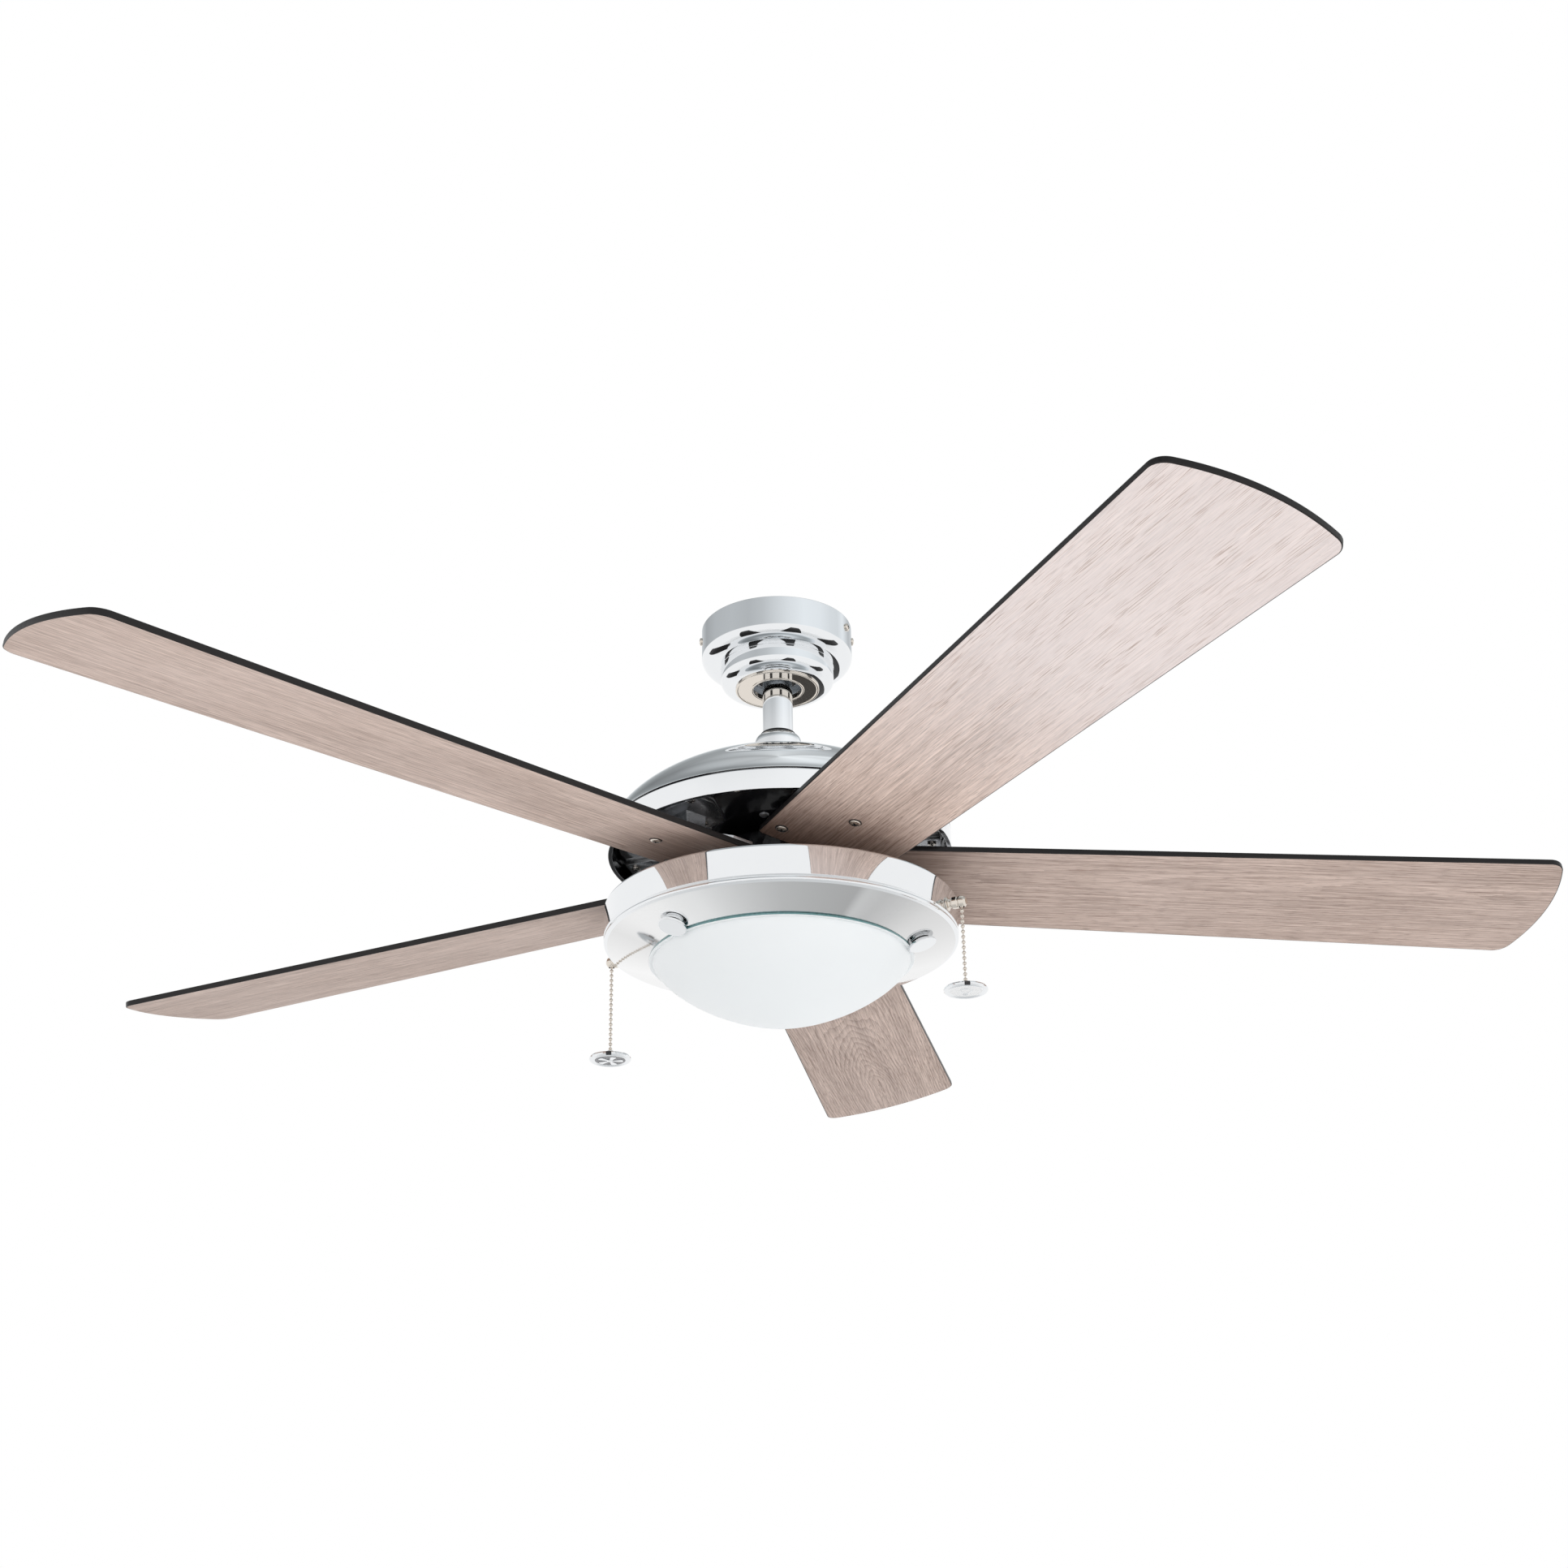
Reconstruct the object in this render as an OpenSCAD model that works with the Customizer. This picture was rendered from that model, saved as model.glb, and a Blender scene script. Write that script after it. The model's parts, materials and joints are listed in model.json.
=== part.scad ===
// Five-blade ceiling fan with a glass-bowl light, built as separate pieces.
// Origin: centre of the ceiling face. +Z up, so the fan hangs into negative Z. Millimetres.

/* [Canopy] */
// Outer radius of the canopy wall
canopy_r = 64; // [60:0.5:68]
// Height of the canopy from the ceiling to its flat bottom
canopy_h = 55; // [54:0.5:58]
// Sheet thickness of the chrome shells
sheet = 1.2; // [1:0.1:1.4]

/* [Downrod] */
// Outer radius of the downrod tube
rod_r = 12.7; // [12.7:0.1:12.8]
// Depth of the motor housing's flat top below the ceiling
housing_top = 129.9; // [128:0.1:134]

/* [Motor housing] */
// Outer radius of the housing at its rim
housing_r = 141; // [138:0.5:144]
// Rise of the dome above its rim
dome_rise = 62.1; // [60:0.1:64]
// Height of the straight band under the dome
band_h = 17; // [15:0.5:20]

/* [Blades] */
// Radius swept by the blade tips
sweep_r = 660; // [560:5:720]
// Radius of the blade root from the fan's axis
root_r = 66; // [66:0.5:70]
// Half width of a blade at its root
root_half = 52.7; // [51:0.1:54]
// Half width of a blade at its tip
tip_half = 69; // [60:0.5:75]
// Blade thickness
blade_t = 4.8; // [4:0.1:5.5]
// Blade pitch in degrees
pitch = 11.2; // [10:0.1:13]
// Depth below the ceiling where the blade undersides meet the axis
blade_depth = 231.5; // [229:0.5:235]

/* [Light kit] */
// Outer radius of the light pan
pan_r = 143.5; // [141:0.5:146]
// Depth of the pan's flat top below the ceiling
pan_top = 257.1; // [256.5:0.1:260]
// Radius of the glass bowl's rim
glass_r = 107; // [106:0.5:108]
// Depth of the glass bowl below its rim edge
glass_depth = 51.3; // [46:0.1:56]
// Thickness of the glass
glass_t = 3.2; // [2.8:0.1:3.6]

/* [Pull chains] */
// Depth below the ceiling of the fan chain's fob
fan_fob_depth = 357.5; // [340:1:380]
// Depth below the ceiling of the light chain's fob
light_fob_depth = 347; // [335:0.5:380]
// Radius of a chain fob
fob_r = 17.2; // [15:0.1:19]

/* [Hidden] */

$fn = 64;
eps = 0.01;
fit_gap = 0.05;         // radial clearance of a pin, a shaft or a screw in its hole
chrome = [0.82, 0.83, 0.85];
nickel = [0.78, 0.74, 0.68];
zinc = [0.66, 0.67, 0.68];
black = [0.06, 0.06, 0.065];
weathered_oak = [0.52, 0.45, 0.42];
frosted = [0.9, 0.96, 0.96];

// Points along part of an ellipse, from angle a0 to a1
function arc(cx, cy, rx, ry, a0, a1, n = 8) =
    [for (i = [0 : n]) let (a = a0 + (a1 - a0) * i / n) [cx + rx * cos(a), cy + ry * sin(a)]];
function backwards(list) = [for (i = [len(list) - 1 : -1 : 0]) list[i]];

// Repeats its children around the axis at each angle of a list
module at_angles(angles) {
    for (a = angles) rotate([0, 0, a]) children();
}

// A disc with a hole, between two heights
module washer(r_out, r_in, z0, z1) {
    rotate_extrude() polygon([[r_in, z0], [r_out, z0], [r_out, z1], [r_in, z1]]);
}

// A round-head screw along +X: the head's seat is at x = seat and the shank runs inwards
module radial_screw(seat, shank_r, shank_l, head_r, head_h) {
    translate([seat, 0, 0]) rotate([0, 90, 0]) {
        translate([0, 0, -shank_l]) cylinder(r = shank_r, h = shank_l + eps);
        rotate_extrude() polygon(concat([[0, 0]], arc(0, 0, head_r, head_h, 0, 90, 5)));
    }
}

// A round-head screw with its head up: the seat is at z = 0 and the shank runs down
module upright_screw(shank_r, shank_l, head_r, head_h) {
    translate([0, 0, -shank_l]) cylinder(r = shank_r, h = shank_l + eps);
    rotate_extrude() polygon(concat([[0, 0]], arc(0, 0, head_r, head_h, 0, 90, 5)));
}

// ---- Ceiling bracket, canopy and hanger ball ----
ear_r = canopy_r - sheet - 0.2;
ear_t = 2.2;
ear_h = 18;
plate_w = 38;
plate_t = 2.5;
box_screw_spacing = 88.9;
slot_w = 5.2;
slot_l = 14;
canopy_screw_z = -9.5;
canopy_screw_angles = [-12, 12, 168, 192];
canopy_screw_r = 1.95;
ball_r = 22;
ball_z = -32;
ball_top = 18;
ball_bottom = 16.5;
seat_r = ball_r + 0.1;
seat_hole_r = 16.8;
seat_outer_r = 29.5;
seat_z0 = -47;
seat_z1 = -36;
leg_w = 20;
leg_t = 2.5;
wire_hole_r = 16;
hanger_pin_r = 3;
hanger_pin_l = 38;

module slot_hole() {
    for (s = [-1, 1]) translate([s * (slot_l - slot_w) / 2, 0, -plate_t - 1])
        cylinder(d = slot_w, h = plate_t + 2);
    translate([-(slot_l - slot_w) / 2, -slot_w / 2, -plate_t - 1])
        cube([slot_l - slot_w, slot_w, plate_t + 2]);
}

module ceiling_bracket() {
    color(zinc) difference() {
        union() {
            intersection() {
                translate([-ear_r, -plate_w / 2, -plate_t]) cube([2 * ear_r, plate_w, plate_t]);
                translate([0, 0, -plate_t]) cylinder(r = ear_r, h = plate_t);
            }
            for (a = [-18, 162]) rotate([0, 0, a]) rotate_extrude(angle = 36)
                translate([ear_r - ear_t, -ear_h]) square([ear_t, ear_h]);
            for (s = [-1, 1]) translate([-leg_w / 2, s * (seat_outer_r - leg_t / 2 - 1) - leg_t / 2, seat_z0])
                cube([leg_w, leg_t, -seat_z0]);
            translate([-leg_w / 2, 1 - seat_outer_r, -plate_t])
                cube([leg_w, 2 * seat_outer_r - 2, plate_t]);
            difference() {
                translate([0, 0, seat_z0]) cylinder(r = seat_outer_r, h = seat_z1 - seat_z0);
                translate([0, 0, ball_z]) sphere(r = seat_r);
                translate([0, 0, seat_z0 - 1]) cylinder(r = seat_hole_r, h = 20);
            }
        }
        translate([0, 0, -plate_t - 1]) cylinder(r = wire_hole_r, h = plate_t + 2);
        for (s = [-1, 1]) translate([s * box_screw_spacing / 2, 0, 0]) slot_hole();
        at_angles(canopy_screw_angles) translate([ear_r - ear_t - 1, 0, canopy_screw_z])
            rotate([0, 90, 0]) cylinder(r = canopy_screw_r + fit_gap, h = ear_t + 2);
    }
}

// Canopy outline at an inset from the outer surface: two rounded tiers
shoulder_r = 50;
shoulder_h = 10;
shoulder_z = -26;
tier_r = 48;
tier_z = -canopy_h + 8;
lip_r = 36;
canopy_hole_r = 22.2;
function canopy_outline(inset) = concat(
    [[canopy_r - inset, 0]],
    arc(shoulder_r, shoulder_z, canopy_r - shoulder_r - inset, shoulder_h - inset, 0, -90),
    [[tier_r - inset, shoulder_z - shoulder_h + inset]],
    arc(lip_r, tier_z, tier_r - lip_r - inset, tier_z + canopy_h - inset, 0, -90),
    [[canopy_hole_r, -canopy_h + inset]]);

module canopy() {
    color(chrome) difference() {
        rotate_extrude() polygon(concat(canopy_outline(0), backwards(canopy_outline(sheet))));
        at_angles(canopy_screw_angles) translate([canopy_r - sheet - 1, 0, canopy_screw_z])
            rotate([0, 90, 0]) cylinder(r = canopy_screw_r + 0.15, h = sheet + 2);
    }
}

ring_r = 35.5;
ring_hole_r = 20.5;
ring_t = 1.6;
// Flat ring with a raised bead round its hole and round its edge
module canopy_ring() {
    lip_t = 1.4;
    bead = 2.4;
    low = -canopy_h - ring_t;
    face = low + 0.6;
    color(nickel) rotate_extrude() polygon([
        [ring_hole_r, low + 0.6], [ring_hole_r + 0.6, low], [ring_hole_r + bead - 0.6, low],
        [ring_hole_r + bead, face], [ring_r - bead, face], [ring_r - bead + 0.6, low],
        [ring_r - 0.6, low], [ring_r, low + 0.6],
        [ring_r, -canopy_h], [ring_hole_r + lip_t, -canopy_h],
        [ring_hole_r + lip_t, -canopy_h + 3], [ring_hole_r, -canopy_h + 3]]);
}

module canopy_screws() {
    color(nickel) at_angles(canopy_screw_angles) translate([0, 0, canopy_screw_z])
        radial_screw(canopy_r, canopy_screw_r, sheet + ear_t + 1, 3.4, 2.2);
}

module hanger_pin() {
    color(zinc) translate([0, 0, ball_z]) rotate([90, 0, 0])
        cylinder(r = hanger_pin_r, h = hanger_pin_l, center = true);
}

// Hole for the hanger pin, through the ball and the rod
module hanger_pin_hole() {
    translate([0, 0, ball_z]) rotate([90, 0, 0])
        cylinder(r = hanger_pin_r + fit_gap, h = 4 * ball_r, center = true);
}

module hanger_ball() {
    color(black) difference() {
        intersection() {
            translate([0, 0, ball_z]) sphere(r = ball_r);
            translate([0, 0, ball_z - ball_bottom]) cylinder(r = ball_r, h = ball_bottom + ball_top);
        }
        translate([0, 0, ball_z - ball_r]) cylinder(r = rod_r + fit_gap, h = 2 * ball_r);
        hanger_pin_hole();
        at_angles([0]) translate([rod_r - 1, 0, ball_screw_z]) rotate([0, 90, 0])
            cylinder(r = grub_r + fit_gap, h = ball_r);
    }
}

// ---- Downrod and coupling ----
rod_wall = 1.8;
rod_top = -16;
rod_end = -121;
grub_r = 2.4;
ball_screw_z = ball_z + 9;
coupling_r = 16.5;
coupling_top = -104;
flange_r = 30;
flange_t = 3;
flange_top = -housing_top - sheet;
coupling_bolt_z = -112;
coupling_bolt_r = 3;
coupling_screw_z = -117.5;
shaft_r = 7.5;
shaft_top = -123;
shaft_bore_r = 4.5;
cover_top = -101;
cover_r = 19.5;
cover_t = 1;
gasket_t = 3;

module downrod() {
    color(chrome) difference() {
        washer(rod_r, rod_r - rod_wall, rod_end, rod_top);
        hanger_pin_hole();
        translate([0, 0, coupling_bolt_z]) rotate([90, 0, 0])
            cylinder(r = coupling_bolt_r + fit_gap, h = 4 * rod_r, center = true);
    }
}

module set_screws() {
    color(zinc) {
        translate([rod_r, 0, ball_screw_z]) rotate([0, 90, 0]) cylinder(r = grub_r, h = 5);
        at_angles([0, 180]) translate([rod_r, 0, coupling_screw_z]) rotate([0, 90, 0])
            cylinder(r = grub_r, h = coupling_r - rod_r - 0.2);
    }
}

module coupling_gasket() {
    color(black) washer(rod_r + 1.8, rod_r + fit_gap, cover_top, cover_top + gasket_t);
}

module coupling_cover() {
    top_r = 16;
    bend_h = 6;
    bottom = -housing_top + 0.1;
    outer = concat([[cover_r, bottom]],
        arc(top_r, cover_top - bend_h, cover_r - top_r, bend_h, 0, 90, 10));
    inner = concat([[cover_r - cover_t, bottom]],
        arc(top_r, cover_top - bend_h, cover_r - top_r - cover_t, bend_h - cover_t, 0, 90, 10));
    color(chrome) rotate_extrude() polygon(concat(outer,
        [[rod_r + 0.2, cover_top], [rod_r + 0.2, cover_top - cover_t]], backwards(inner)));
}

module motor_coupling() {
    color(zinc) difference() {
        rotate_extrude() polygon([
            [rod_r + fit_gap, coupling_top], [coupling_r, coupling_top], [coupling_r, flange_top],
            [flange_r, flange_top], [flange_r, flange_top - flange_t],
            [shaft_r + fit_gap, flange_top - flange_t], [shaft_r + fit_gap, shaft_top],
            [shaft_bore_r, shaft_top], [shaft_bore_r, rod_end], [rod_r + fit_gap, rod_end]]);
        translate([0, 0, coupling_bolt_z]) rotate([90, 0, 0])
            cylinder(r = coupling_bolt_r + fit_gap, h = 4 * rod_r, center = true);
        at_angles([0, 180]) translate([rod_r - 1, 0, coupling_screw_z]) rotate([0, 90, 0])
            cylinder(r = grub_r + fit_gap, h = coupling_r);
        at_angles(dome_screw_angles) translate([dome_screw_r, 0, flange_top - flange_t - 1])
            cylinder(r = dome_screw_shank + fit_gap, h = flange_t + 2);
    }
}

module coupling_bolt() {
    color(zinc) translate([0, 0, coupling_bolt_z]) rotate([90, 0, 0])
        cylinder(r = coupling_bolt_r, h = 2 * coupling_r - 2, center = true);
}

// ---- Motor housing ----
dome_rim = -housing_top - dome_rise;
dome_flat_r = 30;
dome_hole_r = coupling_r + 0.4;
dome_power = 0.65;
dome_screw_angles = [45, 135, 225, 315];
dome_screw_r = 24;
dome_screw_shank = 1.9;
seam_h = 1.4;
band_top = dome_rim - seam_h;
band_bottom = band_top - band_h;
band_t = 1.4;

// Height of the dome's surface over its rim; r_rim and rise set the surface
function dome_z(r, r_rim, rise) = dome_rim + rise * pow(1 - pow(r / r_rim, 2), dome_power);
function dome_curve(inset) = let (
        r_rim = housing_r - inset,
        full = dome_rise / pow(1 - pow(dome_flat_r / housing_r, 2), dome_power) - inset,
        a0 = asin(dome_flat_r / r_rim))
    [for (i = [0 : 20]) let (r = r_rim * sin(a0 + (90 - a0) * i / 20)) [r, dome_z(r, r_rim, full)]];

module housing_dome() {
    color(chrome) difference() {
        rotate_extrude() polygon(concat(
            [[dome_hole_r, -housing_top]], dome_curve(0),
            backwards(dome_curve(sheet)), [[dome_hole_r, -housing_top - sheet]]));
        at_angles(dome_screw_angles) translate([dome_screw_r, 0, flange_top - 1])
            cylinder(r = dome_screw_shank + fit_gap, h = 10);
    }
}

module dome_screws() {
    color(zinc) at_angles(dome_screw_angles) translate([dome_screw_r, 0, flange_top - flange_t])
        mirror([0, 0, 1]) upright_screw(dome_screw_shank, flange_t + sheet - 0.2, 3.4, 2.2);
}

// The band's neck tapers to fit inside the dome's rim
module housing_band() {
    neck_r = housing_r - sheet - 0.2;
    neck_h = 4;
    neck_top_r = neck_r * sqrt(1 - pow(neck_h / dome_rise, 1 / dome_power));
    color(chrome) rotate_extrude() polygon([
        [neck_top_r, dome_rim + neck_h], [neck_r, dome_rim], [neck_r, band_top],
        [housing_r - 0.4, band_top], [housing_r, band_top - 0.4],
        [housing_r, band_bottom + 1], [housing_r - 1, band_bottom],
        [housing_r - 3.4, band_bottom], [housing_r - 3.4, band_bottom + 1.2],
        [housing_r - band_t, band_bottom + 1.2], [housing_r - band_t, band_top - 3],
        [neck_r - band_t, band_top - 4], [neck_r - band_t, dome_rim],
        [neck_top_r - band_t, dome_rim + neck_h]]);
}

// ---- Motor: fixed shaft and stator inside a turning rotor ----
rotor_r = 80;
rotor_wall = 4;
rotor_mid = -172.5;
rotor_half_h = 25.5;
rotor_hole_r = 9;
bearing_r = 17.5;
bearing_w = 11;
bearing_off = 11.5;          // from the rotor's middle to the near face of a bearing
hub_wall = 4.5;
stator_half_h = 9.5;
stator_r = 59.4;
air_gap = 0.6;
cage_half_h = 12.5;
coil_count = 9;
shaft_end = -272;
flywheel_r = 133;
flywheel_t = 2;
flywheel_z = rotor_mid - rotor_half_h;
flywheel_hole_r = 24;
rotor_screw_angles = [0, 90, 180, 270];
rotor_screw_r = 68;
rotor_screw_shank = 2.4;

module motor_shaft() {
    color(zinc) washer(shaft_r, shaft_bore_r, shaft_end, shaft_top);
}

module stator_core() {
    slot_depth = 20;
    tooth_gap = 3;
    color([0.35, 0.35, 0.37]) difference() {
        translate([0, 0, rotor_mid - stator_half_h]) cylinder(r = stator_r, h = 2 * stator_half_h);
        translate([0, 0, rotor_mid - stator_half_h - 1])
            cylinder(r = shaft_r + fit_gap, h = 2 * stator_half_h + 2);
        at_angles([for (i = [0 : coil_count * 2 - 1]) i * 180 / coil_count])
            translate([stator_r - slot_depth, -tooth_gap / 2, rotor_mid - stator_half_h - 1])
                cube([slot_depth + 1, tooth_gap, 2 * stator_half_h + 2]);
    }
}

module stator_windings() {
    coil_angle = 360 / coil_count - 6;
    coil_h = 7;
    r_in = 30;
    r_out = 56;
    color([0.72, 0.4, 0.22]) for (i = [0 : coil_count - 1]) rotate([0, 0, 360 / coil_count * i])
        for (side = [0, 1]) translate([0, 0, rotor_mid]) mirror([0, 0, side])
            rotate_extrude(angle = coil_angle) polygon([
                [r_in, stator_half_h], [r_out, stator_half_h], [r_out, stator_half_h + coil_h - 2],
                [r_out - 2, stator_half_h + coil_h], [r_in + 2, stator_half_h + coil_h],
                [r_in, stator_half_h + coil_h - 2]]);
}

module bearings() {
    color(zinc) for (side = [0, 1]) translate([0, 0, rotor_mid]) mirror([0, 0, side])
        washer(bearing_r, shaft_r + fit_gap, bearing_off, bearing_off + bearing_w);
}

// One half of the rotor casting, above the rotor's middle
module rotor_half() {
    bore_r = bearing_r + fit_gap;
    inner_top = rotor_half_h - rotor_wall;
    rotate_extrude() polygon([
        [rotor_r - rotor_wall, 0], [rotor_r, 0], [rotor_r, rotor_half_h - 6],
        [rotor_r - 6, rotor_half_h], [rotor_hole_r, rotor_half_h],
        [rotor_hole_r, bearing_off + bearing_w + 0.4], [bore_r, bearing_off + bearing_w + 0.4],
        [bore_r, bearing_off + 1], [bore_r + hub_wall, bearing_off + 1],
        [bore_r + hub_wall, inner_top], [rotor_r - rotor_wall, inner_top]]);
}

// Threads of the flywheel screws in the lower casting
module rotor_screw_holes(z0, h) {
    at_angles(rotor_screw_angles) translate([rotor_screw_r, 0, z0])
        cylinder(r = rotor_screw_shank + fit_gap, h = h);
}

module rotor_upper() {
    color(black) translate([0, 0, rotor_mid]) rotor_half();
}

module rotor_lower() {
    color(black) difference() {
        translate([0, 0, rotor_mid]) mirror([0, 0, 1]) rotor_half();
        rotor_screw_holes(flywheel_z - 1, rotor_wall + 2);
    }
}

module rotor_ring() {
    color([0.45, 0.45, 0.47]) translate([0, 0, rotor_mid])
        washer(rotor_r - rotor_wall - fit_gap, stator_r + air_gap, -cage_half_h, cage_half_h);
}

module rotor_screws() {
    color(zinc) at_angles(rotor_screw_angles) translate([rotor_screw_r, 0, flywheel_z - flywheel_t])
        mirror([0, 0, 1]) upright_screw(rotor_screw_shank, flywheel_t + rotor_wall, 4, 2.4);
}

module flywheel() {
    rim_h = 9;
    color(black) difference() {
        rotate_extrude() polygon([
            [flywheel_hole_r, flywheel_z - flywheel_t], [flywheel_r - 1, flywheel_z - flywheel_t],
            [flywheel_r, flywheel_z - flywheel_t + 1], [flywheel_r, flywheel_z + rim_h],
            [flywheel_r - 1.5, flywheel_z + rim_h], [flywheel_r - 1.5, flywheel_z],
            [flywheel_hole_r, flywheel_z]]);
        rotor_screw_holes(flywheel_z - flywheel_t - 1, flywheel_t + 2);
        for (i = [1 : blade_count]) blade_turn(i) arm_screw_holes();
    }
}

// ---- Blades and their arms ----
blade_count = 5;
blade_step = 360 / blade_count;
blade_start = 90;
tip_arc_r = 180;
tip_corner_r = 14;
root_corner_r = 5;
foot_t = 3;
foot_z = flywheel_z - flywheel_t;
plate_thick = 3;
arm_screw_places = [[122, 27], [122, -27], [84, 0]];
arm_screw_shank = 2;
blade_screw_places = [[85, 40], [85, -40], [134, 0]];
blade_screw_shank = 2.3;
blade_slope = (tip_half - root_half) / (sweep_r - root_r);

module blade_turn(i) {
    rotate([0, 0, blade_start + blade_step * (i - 1)]) children();
}

// The blade's own frame: X along the blade, Y across it, Z out of its upper face
module blade_frame() {
    translate([0, 0, -blade_depth]) rotate([-pitch, 0, 0]) children();
}

// Outline of one long half of a blade, from the root's middle to the tip's middle
tip_centre = sweep_r - tip_arc_r;
corner_y = tip_half - tip_corner_r - 0.3;
corner_x = tip_centre + sqrt(pow(tip_arc_r - tip_corner_r, 2) - pow(corner_y, 2));
corner_a = atan2(corner_y, corner_x - tip_centre);
function blade_half() = concat(
    arc(root_r + root_corner_r, root_half - root_corner_r, root_corner_r, root_corner_r, 180, 90, 4),
    arc(corner_x, corner_y, tip_corner_r, tip_corner_r, 90, corner_a, 6),
    [for (i = [1 : 6]) let (a = corner_a * (1 - i / 6))
        [tip_centre + tip_arc_r * cos(a), tip_arc_r * sin(a)]]);
function mirrored(points) = [for (p = backwards(points)) [p[0], -p[1]]];

module blade(i) {
    color(weathered_oak) blade_turn(i) blade_frame() difference() {
        linear_extrude(blade_t)
            polygon(concat(blade_half(), mirrored([for (p = blade_half()) if (p[1] > eps) p])));
        for (p = blade_screw_places) translate([p[0], p[1], -1])
            cylinder(r = blade_screw_shank + 0.2, h = blade_t + 2);
    }
}

module arm_screw_holes() {
    for (p = arm_screw_places) translate([p[0], p[1], foot_z - foot_t - 1])
        cylinder(r = arm_screw_shank + fit_gap, h = foot_t + flywheel_t + 2);
}

module blade_arm(i) {
    foot = [[74, -14], [74, 14], [104, 34], [127, 36], [132, 16], [132, -16], [127, -36], [104, -34]];
    plate = [[74, -46], [78, -50], [98, -50], [143, -14], [146, 0], [143, 14], [98, 50], [78, 50], [74, 46]];
    riser_x = [92, 112];
    riser_y = 11;
    color(zinc) blade_turn(i) difference() {
        union() {
            translate([0, 0, foot_z - foot_t]) linear_extrude(foot_t) polygon(foot);
            blade_frame() translate([0, 0, blade_t]) linear_extrude(plate_thick) polygon(plate);
            difference() {
                translate([riser_x[0], -riser_y, -blade_depth])
                    cube([riser_x[1] - riser_x[0], 2 * riser_y, blade_depth + foot_z - 1]);
                blade_frame() translate([0, -100, blade_t + 1 - 100]) cube([200, 200, 100]);
            }
        }
        arm_screw_holes();
        blade_frame() for (p = blade_screw_places) translate([p[0], p[1], 0])
            cylinder(r = blade_screw_shank + fit_gap, h = blade_t + plate_thick + 2);
    }
}

module arm_screws() {
    color(nickel) for (i = [1 : blade_count]) blade_turn(i) for (p = arm_screw_places)
        translate([p[0], p[1], foot_z - foot_t]) mirror([0, 0, 1])
            upright_screw(arm_screw_shank, foot_t + flywheel_t - 0.2, 3.6, 2.2);
}

module blade_screws() {
    color(nickel) for (i = [1 : blade_count]) blade_turn(i) blade_frame() for (p = blade_screw_places)
        translate([p[0], p[1], 0]) mirror([0, 0, 1])
            upright_screw(blade_screw_shank, blade_t + plate_thick + 1, 4.4, 2.4);
}

// ---- Switch housing ----
switch_r = 56;
switch_top = -206;
switch_wall = 1.5;
cover_plate_t = 3;
cover_plate_z = -pan_top;
slider_angle = 54;
slider_z = -232;
slider_travel = 6;
slider_slot = [14, 5];       // height and width of the slot

module switch_housing() {
    bottom = cover_plate_z + cover_plate_t;
    color(black) difference() {
        rotate_extrude() polygon([
            [shaft_r + fit_gap, switch_top], [switch_r - 3, switch_top], [switch_r, switch_top - 3],
            [switch_r, bottom], [switch_r - switch_wall, bottom],
            [switch_r - switch_wall, switch_top - 3.5], [switch_r - 3.5, switch_top - switch_wall],
            [shaft_r + fit_gap, switch_top - switch_wall]]);
        rotate([0, 0, slider_angle]) translate([switch_r - 5, -slider_slot[1] / 2, slider_z - slider_slot[0] / 2])
            cube([10, slider_slot[1], slider_slot[0]]);
    }
}

module switch_cover() {
    color(black) washer(switch_r, shaft_r + fit_gap, cover_plate_z, cover_plate_z + cover_plate_t);
}

module shaft_nut() {
    nut_r = 13;
    nut_h = 6;
    color(zinc) translate([0, 0, fitter_z - fitter_t - nut_h]) difference() {
        cylinder(r = nut_r, h = nut_h, $fn = 6);
        translate([0, 0, -1]) cylinder(r = shaft_r + fit_gap, h = nut_h + 2);
    }
}

module capacitor() {
    color([0.1, 0.1, 0.1]) translate([-30, -40, -246]) difference() {
        cube([44, 20, 30]);
        translate([22, 10, -1]) cylinder(r = 1.6, h = 32);
    }
}

// Body of the reversing switch, fixed inside the wall; its slot faces outwards
module reverse_switch() {
    depth = 15;
    width = 12;
    height = 24;
    inner = switch_r - switch_wall - 0.8;
    color([0.12, 0.12, 0.13]) rotate([0, 0, slider_angle]) difference() {
        translate([inner - depth, -width / 2, slider_z - height / 2]) cube([depth, width, height]);
        translate([inner - 6, -slider_slot[1] / 2, slider_z - slider_slot[0] / 2])
            cube([8, slider_slot[1], slider_slot[0]]);
    }
}

module reverse_slider() {
    height = slider_slot[0] - slider_travel - 0.8;
    width = slider_slot[1] - 0.8;
    inner = switch_r - switch_wall - 0.8;
    color([0.92, 0.92, 0.9]) rotate([0, 0, slider_angle])
        translate([inner - 5.5, -width / 2, slider_z - slider_slot[0] / 2 + 0.4])
            cube([switch_r + 2.2 - (inner - 5.5), width, height]);
}

// ---- Light kit ----
fitter_z = -pan_top - sheet;
fitter_t = 1.5;
pan_flange_r = 130;
band_low = -282;
cone_r = 141;
cone_z = -287.5;
mouth_r = 103;
mouth_z = -300.5;
cone_angle = atan2(cone_z - mouth_z, cone_r - mouth_r);
pan_screw_angles = [-16, 104, 224];
pan_screw_r = 137;
pan_screw_shank = 1.9;
bell_angles = [166, -14];
bell_z = -276;
bell_hole_r = 3.2;
clip_angles = [114, 234, 354];
clip_r = 115.5;
clip_stud_r = 2.4;

function cone_height(r) = cone_z - (cone_r - r) * (cone_z - mouth_z) / (cone_r - mouth_r);

// A clip's own frame: the origin is on the cone, +X points out of it and down
module clip_frame(k) {
    rotate([0, 0, clip_angles[k - 1]]) translate([clip_r, 0, cone_height(clip_r)])
        rotate([0, 90 - cone_angle, 0]) children();
}

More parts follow.
